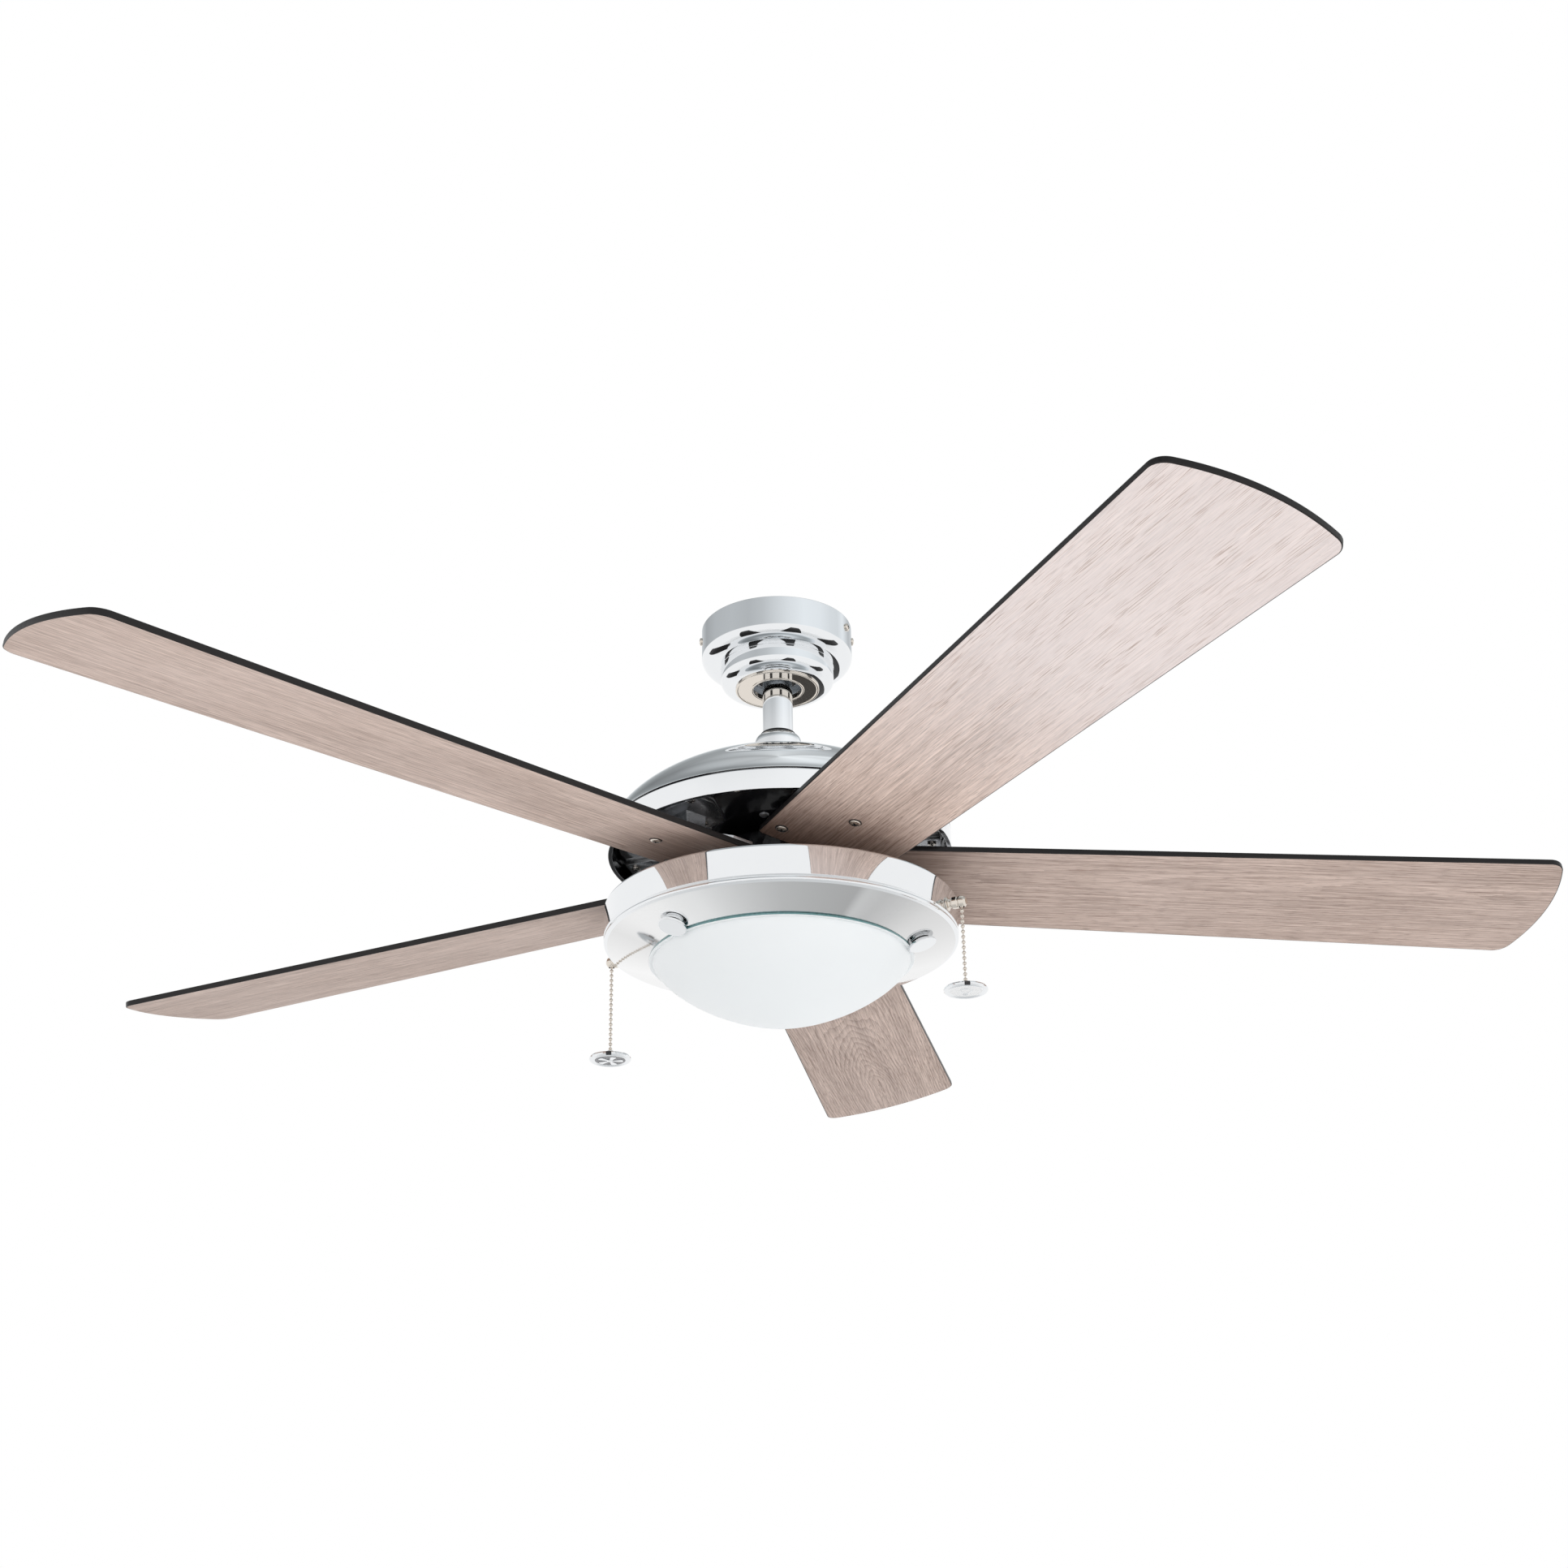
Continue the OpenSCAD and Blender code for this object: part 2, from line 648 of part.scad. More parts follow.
module light_pan() {
    step = 1.2;
    outer = concat([[pan_flange_r, -pan_top]],
        arc(pan_r - 2, -pan_top - 2, 2, 2, 90, 0, 4),
        [[pan_r, band_low], [pan_r - step, band_low - step]],
        arc(pan_r - 2, band_low - 3, 1.8, 1.9, 40, -60, 6),
        [[cone_r - 0.6, cone_z], [mouth_r, mouth_z], [mouth_r, mouth_z + 6]]);
    inner = [[pan_flange_r, -pan_top - sheet], [pan_r - 2.2, -pan_top - sheet],
        [pan_r - sheet, -pan_top - 2.2], [pan_r - sheet, band_low + 0.2],
        [pan_r - 3.2, band_low - 2], [pan_r - 3.6, cone_z + 1.2],
        [mouth_r + sheet, mouth_z + sheet + 0.4], [mouth_r + sheet, mouth_z + 6]];
    color(chrome) difference() {
        rotate_extrude() polygon(concat(outer, backwards(inner)));
        at_angles(pan_screw_angles) translate([pan_screw_r, 0, -pan_top - 2])
            cylinder(r = pan_screw_shank + fit_gap, h = 4);
        at_angles(bell_angles) translate([pan_r - 5, 0, bell_z]) rotate([0, 90, 0])
            cylinder(r = bell_hole_r + fit_gap, h = 10);
        for (k = [1 : 3]) clip_frame(k) rotate([0, 90, 0])
            cylinder(r = clip_stud_r + fit_gap, h = 8, center = true);
    }
}

module fitter_plate() {
    plate_r = 140;
    color([0.85, 0.85, 0.84]) difference() {
        washer(plate_r, shaft_r + fit_gap, fitter_z - fitter_t, fitter_z);
        at_angles(pan_screw_angles) translate([pan_screw_r, 0, fitter_z - fitter_t - 1])
            cylinder(r = pan_screw_shank + fit_gap, h = fitter_t + 2);
    }
}

module pan_screws() {
    color(nickel) at_angles(pan_screw_angles) translate([pan_screw_r, 0, -pan_top])
        upright_screw(pan_screw_shank, sheet + fitter_t - 0.2, 3.6, 2.4);
}

bracket_z = fitter_z - fitter_t;
bracket_t = 2;
lamp_x = 38;
holder_r = 17;
holder_h = 24;
holder_z = bracket_z - bracket_t;

module lamp_bracket() {
    half_l = 58;
    half_w = 14;
    hole_r = 16;
    color(zinc) difference() {
        translate([-half_l, -half_w, bracket_z - bracket_t]) cube([2 * half_l, 2 * half_w, bracket_t]);
        translate([0, 0, bracket_z - bracket_t - 1]) cylinder(r = hole_r, h = bracket_t + 2);
    }
    color(zinc) for (s = [-1, 1])
        translate([-half_l, s * (half_w + 3) - 3, bracket_z - bracket_t]) cube([2 * half_l, 6, bracket_t]);
}

module lampholders() {
    bore_r = 13.8;
    floor_t = 3;
    color([0.93, 0.92, 0.9]) for (s = [-1, 1]) translate([s * lamp_x, 0, 0]) rotate_extrude() polygon([
        [0, holder_z], [holder_r, holder_z], [holder_r, holder_z - holder_h + 1],
        [holder_r - 1, holder_z - holder_h], [bore_r, holder_z - holder_h],
        [bore_r, holder_z - floor_t], [0, holder_z - floor_t]]);
}

module bulbs() {
    cap_r = 13.2;
    cap_top = holder_z - 4;
    globe_r = 22.5;
    globe_z = -315;
    glass = 1;
    neck_angle = 35;
    color([0.95, 0.95, 0.92]) for (s = [-1, 1]) translate([s * lamp_x, 0, 0]) rotate_extrude()
        polygon(concat([[0, cap_top], [5, cap_top], [cap_r, cap_top - 3], [cap_r, holder_z - holder_h - 1]],
        arc(0, globe_z, globe_r, globe_r, neck_angle, -90, 14),
        arc(0, globe_z, globe_r - glass, globe_r - glass, -90, neck_angle, 14),
        [[0, globe_z + (globe_r - glass) * sin(neck_angle)]]));
}

glass_rim_z = -301.3;
glass_curve = 1.55;
glass_power = 0.71;
function bowl_z(r, r_rim, z_rim, depth) =
    z_rim - depth * pow(max(0, 1 - pow(r / r_rim, glass_curve)), glass_power);
function bowl_curve(r_rim, z_rim, depth) =
    [for (i = [0 : 20]) let (r = r_rim * cos(90 * i / 20)) [max(0, r), bowl_z(r, r_rim, z_rim, depth)]];

// The bowl's wall stands inside a thin flange, whose ground top lies against the pan's cone
module glass_bowl() {
    wall_r = glass_r - 3;
    inner_r = wall_r - glass_t - 0.3;
    seat_gap = 0.1;
    outer = concat([[mouth_r, mouth_z - seat_gap], [glass_r, cone_height(glass_r) - seat_gap],
            [glass_r, glass_rim_z]],
        bowl_curve(wall_r, glass_rim_z, glass_depth));
    inner = concat([[inner_r, mouth_z - seat_gap]],
        bowl_curve(inner_r, glass_rim_z + 0.2, glass_depth - glass_t + 0.2));
    color(frosted) rotate_extrude() polygon(concat(outer, backwards(inner)));
}

// Chrome disc on a stud: it presses the bowl's rim against the pan
module glass_clip(k) {
    disc_r = 11.3;
    disc_t = 2;
    stand_off = 2.4;
    post_r = 7.6;
    stud_in = 8;
    color(chrome) clip_frame(k) rotate([0, 90, 0]) rotate_extrude() polygon([
        [0, -stud_in], [clip_stud_r, -stud_in], [clip_stud_r, 0.3], [post_r, 0.3], [post_r, stand_off],
        [disc_r - 0.4, stand_off], [disc_r, stand_off + 0.4], [disc_r, stand_off + disc_t - 0.6],
        [disc_r - 0.6, stand_off + disc_t], [0, stand_off + disc_t]]);
}

// ---- Pull chains ----
bell_reach = 160;
chain_r = 1.6;
chain_x = 155.5;
chain_hole_r = 2.4;
chain_top = -273.2;
bell_r = 4.4;

// Body of a pull switch behind the pan's wall
module pull_switch(k) {
    back = 116;
    front = pan_r - sheet - 5.3;
    width = 24;
    top = fitter_z - fitter_t - 1;
    bottom = -284;
    color([0.08, 0.08, 0.09]) rotate([0, 0, bell_angles[k]])
        translate([back, -width / 2, bottom]) cube([front - back, width, top - bottom]);
}

// Bell that guides a chain out of the pan's wall; the chain leaves through its underside
module chain_bell(k) {
    inside = pan_r - 3;
    color(nickel) rotate([0, 0, bell_angles[k]]) difference() {
        translate([0, 0, bell_z]) rotate([0, 90, 0]) rotate_extrude() polygon(concat(
            [[0, inside], [bell_hole_r, inside], [bell_hole_r, pan_r], [5.6, pan_r],
                [5.6, pan_r + 1], [bell_r - 0.6, pan_r + 1.8], [bell_r - 0.6, pan_r + 6], [bell_r, pan_r + 7]],
            arc(0, bell_reach - 3.5, bell_r + 0.5, 3.5, 0, 90, 6)));
        translate([chain_x, 0, bell_z - 10]) cylinder(r = chain_hole_r, h = 10 + 3.2);
    }
}

// Beaded chain as a plain round cord, straight down from the bell to the fob's sleeve
fan_route = [for (i = [0 : 16]) [chain_x, 0, chain_top - i * (fan_fob_depth + chain_top - 0.4) / 16]];
light_route = [for (i = [0 : 16]) [chain_x, 0, chain_top - i * (light_fob_depth + chain_top - 0.4) / 16]];

module cord(route, angle) {
    sides = 8;
    rings = len(route);
    points = [for (p = route) for (j = [0 : sides - 1])
        [p[0] + chain_r * cos(j * 360 / sides), p[1] + chain_r * sin(j * 360 / sides), p[2]]];
    walls = [for (i = [0 : rings - 2]) for (j = [0 : sides - 1]) let (n = (j + 1) % sides)
        [i * sides + j, i * sides + n, (i + 1) * sides + n, (i + 1) * sides + j]];
    top = [[for (j = [sides - 1 : -1 : 0]) j]];
    bottom = [[for (j = [0 : sides - 1]) (rings - 1) * sides + j]];
    rotate([0, 0, angle]) polyhedron(points, concat(top, walls, bottom));
}

module fan_chain() { color(nickel) cord(fan_route, bell_angles[0]); }
module light_chain() { color(nickel) cord(light_route, bell_angles[1]); }

// Disc fob with a recessed face below and a sleeve for the chain above
module fob(depth, angle) {
    fob_t = 4.2;
    sleeve_r = 2.8;
    sleeve_h = 5;
    recess = 1;
    rim = 2.6;
    color(chrome) rotate([0, 0, angle]) translate([chain_x, 0, -depth]) rotate_extrude() polygon([
        [0, -fob_t + recess], [fob_r - rim - 0.6, -fob_t + recess], [fob_r - rim, -fob_t],
        [fob_r - 1.2, -fob_t], [fob_r, -fob_t + 1.4], [fob_r, -1.4], [fob_r - 1.4, 0],
        [sleeve_r, 0], [sleeve_r, sleeve_h], [chain_r + 0.35, sleeve_h], [chain_r + 0.35, 0], [0, 0]]);
}

ceiling_bracket();
canopy();
canopy_ring();
canopy_screws();
hanger_pin();
hanger_ball();
downrod();
set_screws();
coupling_gasket();
coupling_cover();
motor_coupling();
coupling_bolt();
housing_dome();
dome_screws();
housing_band();
motor_shaft();
stator_core();
stator_windings();
bearings();
rotor_upper();
rotor_lower();
rotor_ring();
rotor_screws();
flywheel();
blade_arm(1);  // blade_arm_1
blade_arm(2);  // blade_arm_2
blade_arm(3);  // blade_arm_3
blade_arm(4);  // blade_arm_4
blade_arm(5);  // blade_arm_5
blade(1);  // blade_1
blade(2);  // blade_2
blade(3);  // blade_3
blade(4);  // blade_4
blade(5);  // blade_5
arm_screws();
blade_screws();
switch_housing();
switch_cover();
shaft_nut();
capacitor();
reverse_switch();
reverse_slider();
pull_switch(0);  // fan_switch
pull_switch(1);  // light_switch
fitter_plate();
lamp_bracket();
lampholders();
bulbs();
light_pan();
pan_screws();
glass_bowl();
glass_clip(1);  // glass_clip_1
glass_clip(2);  // glass_clip_2
glass_clip(3);  // glass_clip_3
chain_bell(0);  // fan_chain_bell
chain_bell(1);  // light_chain_bell
fan_chain();
light_chain();
fob(fan_fob_depth, bell_angles[0]);  // fan_fob
fob(light_fob_depth, bell_angles[1]);  // light_fob
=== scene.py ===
"""Looks for the ceiling fan with a light: materials, shells, blades, screws, chains, lights and camera."""
import json
import math
from math import cos, radians, sin

import bmesh
import bpy
from mathutils import Matrix, Vector


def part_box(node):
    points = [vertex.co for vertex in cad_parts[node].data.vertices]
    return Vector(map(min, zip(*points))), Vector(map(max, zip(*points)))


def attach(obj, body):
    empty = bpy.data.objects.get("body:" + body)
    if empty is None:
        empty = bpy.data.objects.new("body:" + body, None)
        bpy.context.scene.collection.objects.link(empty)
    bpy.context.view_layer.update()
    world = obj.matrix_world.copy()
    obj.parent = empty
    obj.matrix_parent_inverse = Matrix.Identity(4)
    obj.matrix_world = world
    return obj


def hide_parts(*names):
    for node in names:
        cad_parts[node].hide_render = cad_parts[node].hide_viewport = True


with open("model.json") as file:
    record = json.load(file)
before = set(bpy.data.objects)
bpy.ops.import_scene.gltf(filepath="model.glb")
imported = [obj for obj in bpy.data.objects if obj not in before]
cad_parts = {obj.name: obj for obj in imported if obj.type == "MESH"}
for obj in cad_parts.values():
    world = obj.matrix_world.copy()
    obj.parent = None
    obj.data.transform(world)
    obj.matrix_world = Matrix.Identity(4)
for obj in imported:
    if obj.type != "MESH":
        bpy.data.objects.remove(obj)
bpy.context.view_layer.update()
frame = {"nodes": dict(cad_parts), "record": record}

MM = 0.001
RECORD = frame["record"]
SLOT = {s["node"]: s["material_slot"] for s in RECORD["subparts"]}
BODY = {n: b for b, names in RECORD["behaviour"]["bodies"].items() for n in names}


# ---- Camera ----
CAMERA_AZIMUTH = radians(-79.8)
CAMERA_DISTANCE = 1.746
CAMERA_HEIGHT = -0.935
CAMERA_PITCH = radians(24.39)
CAMERA_YAW = radians(-0.14)
CAMERA_ROLL = radians(-0.95)
LENS = 52.8


def place_camera():
    """The photograph's camera: in front of the fan and below it, looking up at the housing."""
    heading = CAMERA_AZIMUTH + math.pi + CAMERA_YAW
    ahead = Vector((cos(heading) * cos(CAMERA_PITCH), sin(heading) * cos(CAMERA_PITCH), sin(CAMERA_PITCH)))
    level = Vector((sin(heading), -cos(heading), 0))
    above = level.cross(ahead)
    right = level * cos(CAMERA_ROLL) + above * sin(CAMERA_ROLL)
    up = above * cos(CAMERA_ROLL) - level * sin(CAMERA_ROLL)
    data = bpy.data.cameras.new("camera")
    data.lens = LENS
    data.clip_start, data.clip_end = 0.05, 50
    camera = bpy.data.objects.new("camera", data)
    bpy.context.scene.collection.objects.link(camera)
    camera.matrix_world = Matrix.Translation(
        (cos(CAMERA_AZIMUTH) * CAMERA_DISTANCE, sin(CAMERA_AZIMUTH) * CAMERA_DISTANCE, CAMERA_HEIGHT)
    ) @ Matrix((right, up, -ahead)).transposed().to_4x4()
    bpy.context.scene.camera = camera


place_camera()


# ---- Node materials ----
class Nodes:
    """Adds nodes to a tree. An input that is a socket is linked, and any other value is set."""

    def __init__(self, tree):
        self.tree = tree

    def put(self, socket, value):
        if isinstance(value, bpy.types.NodeSocket):
            self.tree.links.new(value, socket)
        else:
            socket.default_value = value

    def add(self, kind, inputs=None, **settings):
        node = self.tree.nodes.new("ShaderNode" + kind)
        for name, value in settings.items():
            setattr(node, name, value)
        for key, value in (inputs or {}).items():
            self.put(node.inputs[key], value)
        return node

    def place(self, stretch=(1, 1, 1), offset=(0, 0, 0)):
        """Object coordinates in metres, stretched and moved."""
        here = self.add("TexCoord").outputs["Object"]
        return self.add("Mapping", {"Vector": here, "Scale": stretch, "Location": offset}).outputs[0]

    def noise(self, vector, scale, detail=2.0, rough=0.5, warp=0.0):
        return self.add("TexNoise", {"Vector": vector, "Scale": scale, "Detail": detail,
                                     "Roughness": rough, "Distortion": warp}).outputs[0]

    def maths(self, operation, a, b=0.0):
        return self.add("Math", {0: a, 1: b}, operation=operation).outputs[0]

    def remap(self, value, low, high, to_low, to_high):
        return self.add("MapRange", {"Value": value, "From Min": low, "From Max": high,
                                     "To Min": to_low, "To Max": to_high}).outputs[0]

    def mix(self, share, a, b, kind="MIX"):
        node = self.add("Mix", data_type="RGBA", blend_type=kind)
        for key, value in ((0, share), (6, a), (7, b)):
            self.put(node.inputs[key], value)
        return node.outputs[2]

    def bump(self, height, distance, strength=1.0):
        return self.add("Bump", {"Height": height, "Distance": distance, "Strength": strength}).outputs[0]


def rgb(red, green, blue):
    """An opaque colour from linear red, green and blue."""
    return (red, green, blue, 1.0)


def shade(colour, times):
    return rgb(*(min(1.0, c * times) for c in colour[:3]))


def new_material(name, **constants):
    made = bpy.data.materials.new(name)
    made.use_nodes = True
    shader = made.node_tree.nodes["Principled BSDF"]
    for key, value in constants.items():
        shader.inputs[key.replace("_", " ")].default_value = value
    return made, Nodes(made.node_tree), shader


def fill_ramp(ramp, stops):
    """Sets a new colour ramp's stops from (position, colour) pairs in order."""
    for i, (at, colour) in enumerate(stops):
        stop = ramp.color_ramp.elements[i] if i < 2 else ramp.color_ramp.elements.new(at)
        stop.position = at
        stop.color = rgb(*colour)


def plated(name, colour, roughness, wear=0.03, wave=0.000002):
    """Polished plate: a faint haze of handling marks and an almost flat waviness."""
    made, n, shader = new_material(name, Metallic=1.0)
    here = n.place()
    haze = n.noise(here, 18, 4, 0.6)
    n.put(shader.inputs["Roughness"], n.remap(haze, 0.35, 0.7, roughness, roughness + wear))
    n.put(shader.inputs["Base Color"], n.mix(haze, colour, shade(colour, 0.95)))
    n.put(shader.inputs["Normal"], n.bump(n.noise(here, 45, 1), wave))
    return made


def chrome_painted_reflections():
    """The light pan's cone: chrome whose colour carries painted reflections, bright and dark fans round the
    axis.
    """
    made, n, shader = new_material("chrome_painted_reflections", Metallic=1.0)
    at = n.add("TexCoord").outputs["Object"]
    front = Vector((cos(CAMERA_AZIMUTH), sin(CAMERA_AZIMUTH), 0))
    ahead = n.add("VectorMath", {0: at, 1: tuple(front)}, operation="DOT_PRODUCT").outputs[1]
    aside = n.add("VectorMath", {0: at, 1: (-front.y, front.x, 0)}, operation="DOT_PRODUCT").outputs[1]
    # Painted reflections: the ramp sets the chrome's brightness by the direction round the axis, counted from
    # the camera's side.
    fan = n.add("ValToRGB")
    n.put(fan.inputs[0], n.remap(n.maths("ARCTAN2", aside, ahead), -math.pi, math.pi, 0, 1))
    fill_ramp(fan, [(place, (value, value, value)) for place, value in (
        (0.0, 0.8), (0.1, 0.7), (0.2, 0.9), (0.3, 0.75), (0.38, 0.95), (0.42, 0.95),
        (0.5, 0.65), (0.57, 0.5), (0.58, 0.7), (0.6, 0.6), (0.8, 0.85), (0.9, 0.7), (1.0, 0.8))])
    n.put(shader.inputs["Base Color"], fan.outputs[0])
    n.put(shader.inputs["Roughness"], n.remap(n.noise(n.place(), 18, 4, 0.6), 0.35, 0.7, 0.05, 0.09))
    return made


def brushed(name, colour, roughness):
    """Bare or zinc-plated steel with fine scratches and a mottled crystal pattern."""
    made, n, shader = new_material(name, Metallic=1.0)
    scratch = n.noise(n.place((1, 1, 14)), 260, 3, 0.6)
    mottle = n.noise(n.place(), 60, 3, 0.55)
    n.put(shader.inputs["Base Color"], n.mix(mottle, shade(colour, 1.1), shade(colour, 0.78)))
    n.put(shader.inputs["Roughness"], n.remap(scratch, 0.3, 0.7, roughness - 0.06, roughness + 0.1))
    n.put(shader.inputs["Normal"], n.bump(scratch, 0.00003))
    return made


def coated(name, colour, roughness, grain=400.0, height=0.00003, coat=0.0, spread=0.1):
    """Paint, plastic or rubber: a fine surface grain, uneven gloss and slightly uneven colour."""
    made, n, shader = new_material(name, Coat_Weight=coat, Coat_Roughness=0.05)
    here = n.place()
    fine = n.noise(here, grain, 2)
    broad = n.noise(here, 22, 4, 0.6)
    n.put(shader.inputs["Base Color"], n.mix(broad, shade(colour, 1 + spread), shade(colour, 1 - spread)))
    n.put(shader.inputs["Roughness"], n.remap(broad, 0.3, 0.7, roughness, roughness + 0.08))
    n.put(shader.inputs["Normal"], n.bump(fine, height))
    return made


def laminations():
    """Edges of stacked steel sheets."""
    made, n, shader = new_material("lamination_steel", Metallic=1.0)
    lines = n.noise(n.place((0.02, 0.02, 1)), 900, 1)
    n.put(shader.inputs["Base Color"], n.mix(lines, rgb(0.2, 0.2, 0.22), rgb(0.5, 0.5, 0.52)))
    n.put(shader.inputs["Roughness"], n.remap(lines, 0.3, 0.7, 0.3, 0.55))
    n.put(shader.inputs["Normal"], n.bump(lines, 0.0001))
    return made


def windings():
    """Turns of enamelled copper wire."""
    made, n, shader = new_material("copper_wire", Metallic=1.0, Coat_Weight=0.6)
    here = n.place()
    turns = n.add("TexWave", {"Vector": here, "Scale": 320.0, "Distortion": 1.5, "Detail": 1.0},
                  bands_direction="Z").outputs[1]
    n.put(shader.inputs["Base Color"], n.mix(turns, rgb(0.32, 0.1, 0.03), rgb(0.86, 0.42, 0.18)))
    n.put(shader.inputs["Roughness"], n.remap(turns, 0, 1, 0.5, 0.25))
    n.put(shader.inputs["Normal"], n.bump(turns, 0.0003))
    return made


def frosted_glass():
    """Acid-etched white glass with a very faint green cast."""
    made, n, shader = new_material("frosted_glass", Subsurface_Weight=0.35, Subsurface_Scale=0.01,
                                   Coat_Weight=0.25, Coat_Roughness=0.35, IOR=1.5)
    shader.inputs["Subsurface Radius"].default_value = (1, 1, 1)
    here = n.place()
    cloud = n.noise(here, 7, 3, 0.5)
    etch = n.noise(here, 1600, 2)
    n.put(shader.inputs["Base Color"], n.mix(cloud, rgb(0.875, 0.91, 0.925), rgb(0.91, 0.94, 0.955)))
    n.put(shader.inputs["Roughness"], n.remap(etch, 0.3, 0.7, 0.42, 0.55))
    n.put(shader.inputs["Normal"], n.bump(etch, 0.00002))
    return made


def glass_edge():
    """The ground edge of the glass, where its green body colour shows."""
    made, n, shader = new_material("glass_edge", IOR=1.5, Coat_Weight=1.0)
    grind = n.noise(n.place(), 500, 3)
    n.put(shader.inputs["Base Color"], n.mix(grind, rgb(0.07, 0.2, 0.21), rgb(0.14, 0.32, 0.33)))
    n.put(shader.inputs["Roughness"], n.remap(grind, 0.3, 0.7, 0.12, 0.3))
    return made


def bulb_glass():
    made, n, shader = new_material("bulb_glass", Subsurface_Weight=0.2, Subsurface_Scale=0.004, IOR=1.5)
    coat = n.noise(n.place(), 120, 3)
    n.put(shader.inputs["Base Color"], n.mix(coat, rgb(0.86, 0.86, 0.82), rgb(0.93, 0.93, 0.9)))
    n.put(shader.inputs["Roughness"], n.remap(coat, 0.3, 0.7, 0.18, 0.3))
    return made


def wood_print(name, seed, heart_y, heart_depth, taper, tone_and_painted_light, figure, knot_x, painted_sheen):
    """A weathered oak print. X runs along the blade, Y across it.

    heart_y is where the log's axis passes, heart_depth how deep it lies below the face, and taper how fast
    the year rings narrow along it up to knot_x, so that they come out as arches. figure is how strongly they
    show. The tone sets how bright the print is, and its spread from blade to blade is partly print and partly
    painted light, each blade lighter or darker as the light falls on it. The last argument is a painted
    sheen:
    how pale the print turns away from the root.
    """
    made, n, shader = new_material(name)
    at = n.add("TexCoord").outputs["Object"]
    moved = n.add("Mapping", {"Vector": at, "Location": (seed * 1.7, seed * 0.31, 0)}).outputs[0]
    along, across, _ = n.add("SeparateXYZ", {"Vector": at}).outputs

    def stretched(length, width):
        return n.add("Mapping", {"Vector": moved, "Scale": (1 / length, 1 / width, 1)}).outputs[0]

    sway = n.maths("MULTIPLY", n.maths("SUBTRACT", n.noise(stretched(0.2, 0.06), 1, 3), 0.5), 0.02)
    ripple = n.maths("MULTIPLY", n.maths("SUBTRACT", n.noise(stretched(0.03, 0.004), 1, 4), 0.5), 0.0022)
    off = n.maths("SUBTRACT", n.maths("ADD", across, sway), heart_y)
    ring = n.maths("SQRT", n.maths("ADD", n.maths("MULTIPLY", off, off), heart_depth * heart_depth))
    reach = n.maths("POWER", 2.718, n.maths("MULTIPLY", n.maths("MULTIPLY", off, off), -1 / 0.024 ** 2))
    narrowing = n.maths("MULTIPLY", n.maths("SUBTRACT", n.maths("MINIMUM", along, knot_x), knot_x), taper)
    ring = n.maths("SUBTRACT", n.maths("ADD", ring, ripple), n.maths("MULTIPLY", narrowing, reach))
    saw = n.maths("FRACT", n.maths("MULTIPLY", ring, 1 / 0.0026))
    late = n.maths("POWER", saw, 2.2)

    broad = n.noise(stretched(0.5, 0.03), 1, 3, 0.6)
    streak = n.noise(stretched(0.16, 0.0035), 1, 4, 0.65)
    fibre = n.noise(stretched(0.045, 0.0012), 1, 3, 0.6)
    pores = n.remap(n.noise(stretched(0.014, 0.0009), 1, 2, 0.5), 0.56, 0.7, 0, 1)
    wash = n.noise(stretched(0.2, 0.2), 1, 2)

    # The tone factor differs from blade to blade partly as print and partly as painted light: each copy is
    # lighter or darker as the light falls on that blade.
    light, dark = shade(rgb(0.62, 0.484, 0.42), tone_and_painted_light), shade(rgb(0.17, 0.115, 0.092), tone_and_painted_light)
    amount = n.maths("ADD", n.remap(streak, 0.3, 0.72, -0.06, 0.4), n.remap(fibre, 0.3, 0.7, -0.16, 0.46))
    amount = n.maths("ADD", amount, n.maths("MULTIPLY", late, figure))
    amount = n.maths("ADD", amount, n.remap(broad, 0.3, 0.7, -0.16, 0.18))
    colour = n.mix(n.remap(amount, 0, 1.1, 0, 1), light, dark)
    colour = n.mix(n.maths("MULTIPLY", pores, 0.62), colour, shade(dark, 0.8))
    colour = n.mix(n.remap(wash, 0.3, 0.75, 0, 0.3), colour, shade(rgb(0.64, 0.525, 0.48), tone_and_painted_light))
    # Painted sheen: the print turns pale and pinkish away from the root, standing in for a sheen.
    colour = n.mix(n.remap(along, 0.2, 0.42, 0, painted_sheen), colour, rgb(0.87, 0.8, 0.795))
    lines = n.remap(n.noise(stretched(0.03, 0.0007), 1, 2, 0.5), 0.54, 0.63, 0, 1)
    patches = n.remap(n.noise(stretched(0.1, 0.012), 1, 2), 0.35, 0.65, 0.15, 0.68)
    colour = n.mix(n.maths("MULTIPLY", lines, patches), colour, shade(dark, 1.6))
    # Painted shade: the print turns dark near the root, where the hub and the light pan shade the blade.
    painted_root_shade = n.mix(1.0, colour, rgb(0.32, 0.26, 0.235), "MULTIPLY")
    near_root = n.maths("ADD", along, n.maths("MULTIPLY", broad, 0.04))
    colour = n.mix(n.remap(near_root, 0.09, 0.2, 0.98, 0), colour, painted_root_shade)
    n.put(shader.inputs["Base Color"], colour)
    n.put(shader.inputs["Roughness"], n.remap(fibre, 0.3, 0.7, 0.44, 0.6))
    relief = n.maths("ADD", n.maths("MULTIPLY", fibre, 0.5), n.maths("MULTIPLY", pores, -1.0))
    n.put(shader.inputs["Normal"], n.bump(relief, 0.00008))
    shader.inputs["Specular IOR Level"].default_value = 0.22
    return made


def black_laminate():
    """The blades' upper face and edges: black foil with a faint grain."""
    made, n, shader = new_material("black_laminate")
    grain = n.noise(n.place((12, 700, 40)), 1, 3)
    n.put(shader.inputs["Base Color"], n.mix(grain, rgb(0.009, 0.008, 0.008), rgb(0.016, 0.014, 0.014)))
    shader.inputs["Specular IOR Level"].default_value = 0.25
    n.put(shader.inputs["Roughness"], n.remap(grain, 0.3, 0.7, 0.3, 0.46))
    n.put(shader.inputs["Normal"], n.bump(grain, 0.00004))
    return made


